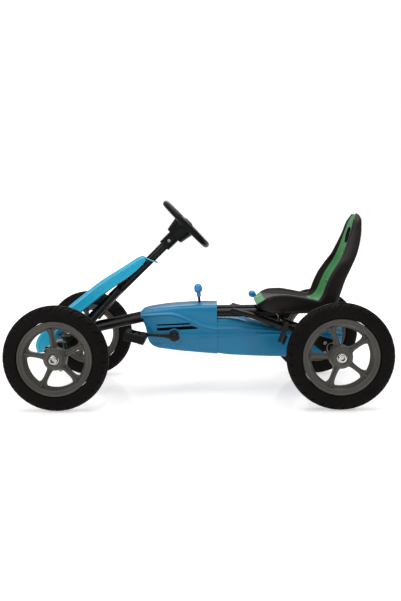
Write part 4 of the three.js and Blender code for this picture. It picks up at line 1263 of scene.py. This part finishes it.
def add_seat():
    table = smooth([(k, *row) for k, row in enumerate(SEAT_ROWS)])
    rows, kinds, piping = [], [], {-1: [], 1: []}
    keys = [0, 0.15, 0.35] + spread(0.6, len(SEAT_ROWS) - 1.5, 120) + [15.75, 16]
    for key in keys:
        crest_x, crest_z, back_x, back_z, wide, hollow, bolster = table(key)
        back = Vector((back_x, 0, back_z))
        up = Vector((crest_x, 0, crest_z)) - back
        length = up.length
        up.normalize()
        lift = 0.5 + 23.5 * ease(1.4, 2.2, key) * (1 - ease(6.9, 7.8, key))
        half = seat_section(wide, length, hollow, bolster, lift)
        full = half + [(-y, n) for y, n in reversed(half[1:-1])]
        row = []
        for j, (y, n) in enumerate(full):
            inner = min(j, len(full) - j) >= HOLLOW_FROM
            ribs = channel(key, abs(y)) if inner else 0.0
            row.append(back + up * (n + ribs) + Vector((0, y, 0)))
        rows.append(row)
        for side in (-1, 1):
            y, n = half[PIPING]
            piping[side].append(back + up * (n - 0.2) + Vector((0, side * y, 0)))
    count = len(rows[0])
    for key in keys[:-1]:
        # Green on the front lip and the backrest only: the cushion left dark is painted shade.
        for i in range(count):
            kinds.append(1 if min(i, count - 1 - i) >= green_from(key) else 0)
    shape = Shape().add(grid(rows), kind=kinds + [1, 0])
    seat = piece("fine_seat", shape, [SEAT_DARK, SEAT_GREEN_AND_REFLECTION], "seat", ["seat"], 40)
    tilt = shifted(*HANDLE_HOLE) @ Matrix.Rotation(math.radians(HANDLE_LEAN + 90), 4, "Y")
    handle = Shape().add(plate(round_box(50, 62, 19), -45, 45, 0.01), tilt)
    carve(seat, handle)

    for word, side in SIDES.items():
        trim = Shape().add(tube(piping[side][6:-4:2], 1.1, 10, chamfer=0.3))
        piece(f"seat_piping_{word}", trim, [SEAT_DARK], "seat")

    screws = Shape()
    for x, z, y in ((457.5, 431, 0), (415, 345, 55), (415, 345, -55)):
        screws.add(bolt(7.5, 4), aimed((x, y, z), (-0.92, 0, 0.36)))
    piece("seat_back_bolts", screws, [STEEL], "seat")


def channel(key, across):
    """Shallow ribs moulded into the backrest and the cushion."""
    if 9.2 < key < 13.4 and across < 70:
        return -1.6 * max(0, math.cos(TURN * (key * 1.5))) ** 3 * ease(70, 58, across)
    if 2.6 < key < 6.4 and across < 90:
        return -1.4 * max(0, math.cos(TURN * (key * 1.2))) ** 3 * ease(90, 76, across)
    return 0.0


def add_seat_hardware():
    inner_low = RAIL_Z + RAIL_R + 0.3
    top = 285.6
    outer = RAIL_Y + RAIL_R + 3.5
    front, rear = low("seat_bracket").x, high("seat_bracket").x
    left = [(-outer, inner_low - 16), (-outer + 3, inner_low - 16), (-outer + 3, inner_low),
            (-outer + 24, inner_low), (-outer + 24, top - 3)]
    right = [(-y, z) for y, z in reversed(left)]
    profile = left + right + [(outer, top - 1.4), (outer - 1.4, top), (-outer + 1.4, top), (-outer, top - 1.4)]
    place = basis((0, 1, 0), (0, 0, 1), (1, 0, 0))
    bracket = Shape().add(plate(profile, front, rear, 0.5), place)
    for x in (front + 16, rear - 16):
        for y in (-28, 28):
            bracket.add(bolt(7), shifted(x, y, top - 3) @ Matrix.Rotation(math.pi, 4, "X"))
    piece("fine_seat_bracket", bracket, [PAINT], "seat", ["seat_bracket"])

    lobes = [polar(17 - 1.6 * (1 - math.cos(6 * TURN * k / 72)), TURN * k / 72) for k in range(72)]
    knob = Shape().add(plate(lobes, 252, 266, 1.8), shifted(280, 0, 0))
    knob.add(lathe([(0, 265), (9.6, 265), (9, 269), (4, 272), (4, 282), (0, 282)], 32),
             shifted(280, 0, 0))
    piece("fine_seat_clamp_knob", knob, [DARK], "seat", ["seat_clamp_knob"])


# ---------------------------------------------------------------- hand levers and brake
SHIFT_LEAN = math.radians(5)
BRAKE_REACH = (-65, 0, 46)


def add_levers():
    along = Vector((-math.sin(SHIFT_LEAN), 0, math.cos(SHIFT_LEAN)))
    lever = Shape().add(tube([SHIFT - along * 14, SHIFT + along * 40], 4, 24))
    lever.add(lathe(bar(9, -5, 5), 32), cross(SHIFT.x, 0, SHIFT.z))
    piece("fine_shift_lever", lever, [PAINT], "shift", ["shift_lever"])
    grip = [(0, -24), (5.6, -24), (6.5, -23), (6.7, -16), (6.9, -10.5), (8.6, -8.4), (11.4, -6.8),
            (12.6, -4), (13, 1), (12.8, 6), (11.6, 10.6), (9, 14.6), (5, 17.2), (0, 18)]
    at_grip = aimed(SHIFT + along * 64.3, along)
    knob = Shape().add(lathe(grip, 48), at_grip)
    knob.add(lathe([(6, -21.4), (7.2, -21.2), (7.7, -20), (7.2, -18.8), (6, -18.6), (6, -21.4)], 40), at_grip)
    piece("fine_shift_grip", knob, [KNOB], "shift", ["shift_grip"])

    half = high("brake_shaft").y
    shaft = Shape().add(tube([(BRAKE.x, -half, BRAKE.z), (BRAKE.x, half, BRAKE.z)], 6, 28))
    for side in (-1, 1):
        hanger = strap((BRAKE.x, BRAKE.z), 8, (BRAKE.x - 20, BRAKE.z - 45), 4.6)
        shaft.add(plate(hanger, 249, 255, 0.8), cross(0, 0, 0, side))
        shaft.add(lathe(bar(9, -6, 6), 32), cross(BRAKE.x, side * 108.5, BRAKE.z))
    lever_y = (low("brake_grip").y + high("brake_grip").y) / 2
    reach = Vector(BRAKE_REACH)
    foot = Vector((BRAKE.x, lever_y, BRAKE.z))
    shaft.add(tube([foot, foot + reach], 4.5, 24))
    shaft.add(lathe(bar(10, -8, 8), 32), cross(BRAKE.x, lever_y, BRAKE.z))
    piece("fine_brake_shaft", shaft, [PAINT], "brake", ["brake_shaft"])
    ball = [(0, -12), (6, -12), (7.4, -11), (9, -8), (11.2, -4), (12, 1), (11.5, 5.4), (9.6, 9.6),
            (6.4, 12.6), (3, 13.8), (0, 14)]
    piece("fine_brake_grip", Shape().add(lathe(ball, 48), aimed(foot + reach * 1.17, reach)), [KNOB], "brake",
          ["brake_grip"])

    down = Vector((-20, 0, -45)).normalized()
    back = Vector((-down.z, 0, down.x))
    for word, side in SIDES.items():
        spot = Vector((BRAKE.x, side * 252, BRAKE.z)) + down * 40 + back * 12.6
        along_hanger = basis(back, (0, 1, 0), back.cross(Vector((0, 1, 0))), spot)
        place = along_hanger @ Matrix.Rotation(math.pi / 2, 4, "Y")
        block = Shape().add(plate(round_box(27, 33.6, 3), -3.3, 1.8, 1), place)
        for offset in (-7, 0, 7):
            block.add(plate(round_box(2.4, 30, 1.1, offset), -3.5, 2.1, 0.3), place)
        piece(f"fine_brake_pad_{word}", block, [PAD], "brake", [f"brake_pad_{word}"])


# ---------------------------------------------------------------- studio
FLOOR_Z = -0.0004


def add_light(name, place, aim, size, power):
    data = bpy.data.lights.new(name, "AREA")
    data.shape = "RECTANGLE"
    data.size, data.size_y = size
    data.energy = power
    lamp = put(name, data)
    lamp.matrix_world = aimed(Vector(place), Vector(place) - Vector(aim))
    lamp.visible_camera = False


def add_studio():
    finish = Finish("studio_floor", Specular_IOR_Level=0.3, Emission_Color=(1, 0.985, 0.98, 1))
    finish.paint(finish.mix(finish.noise(0.8, 2), "d2d2d2", "dadada"))
    finish.roughness(finish.range(finish.noise(3, 3), 0.3, 0.7, 0.05, 0.07))
    finish.link(finish.far(0.8, 3.0, 0.5, 1.15), finish.shader.inputs["Emission Strength"])
    rings = [[(*polar(r, TURN * k / 96), FLOOR_Z) for k in range(96)] for r in (0.001, 2, 6, 30)]
    points, faces = grid(rings, caps=False)
    mesh = bpy.data.meshes.new("floor")
    mesh.from_pydata(points, [], faces)
    mesh.materials.append(finish.material)
    put("floor", mesh)

    world = bpy.data.worlds.new("studio")
    world.use_nodes = True
    bpy.context.scene.world = world
    tree = world.node_tree
    background = tree.nodes["Background"]
    path = add_node(tree, "LightPath")
    place = add_node(tree, "TexCoord")
    split = add_node(tree, "SeparateXYZ")
    tree.links.new(place.outputs["Generated"], split.inputs["Vector"])
    sky = map_range(tree, split.outputs["Z"], -0.05, 0.9, 0.16, 0.8)
    seen = add_node(tree, "Mix")
    tree.links.new(path.outputs["Is Camera Ray"], seen.inputs[0])
    tree.links.new(sky, seen.inputs[2])
    seen.inputs[3].default_value = 1.0
    tree.links.new(seen.outputs[0], background.inputs["Strength"])
    background.inputs["Color"].default_value = (1, 1, 1, 1)

    add_light("top_softbox", (0.1, -0.2, 3.0), (0, 0, 0.2), (3.6, 2.6), 80)
    add_light("key_softbox", (-2.0, -2.6, 2.3), (0, 0, 0.25), (1.6, 1.6), 34)
    add_light("fill_softbox", (2.6, -1.8, 1.6), (0, 0, 0.3), (1.4, 1.4), 8)
    add_light("back_softbox", (0.4, 2.8, 2.2), (0, 0, 0.3), (2.4, 1.2), 22)
    bpy.context.scene.view_settings.view_transform = "Standard"


add_wheels()
add_rails()
add_bearings()
add_rear_stays()
add_front_beam()
add_kingpins()
add_knuckles()
add_column()
add_steering_wheel()
add_sprockets()
add_chain()
add_cranks()
add_pedals()
add_rear_axle()
add_shells()
add_nose()
add_seat()
add_seat_hardware()
add_levers()
add_studio()
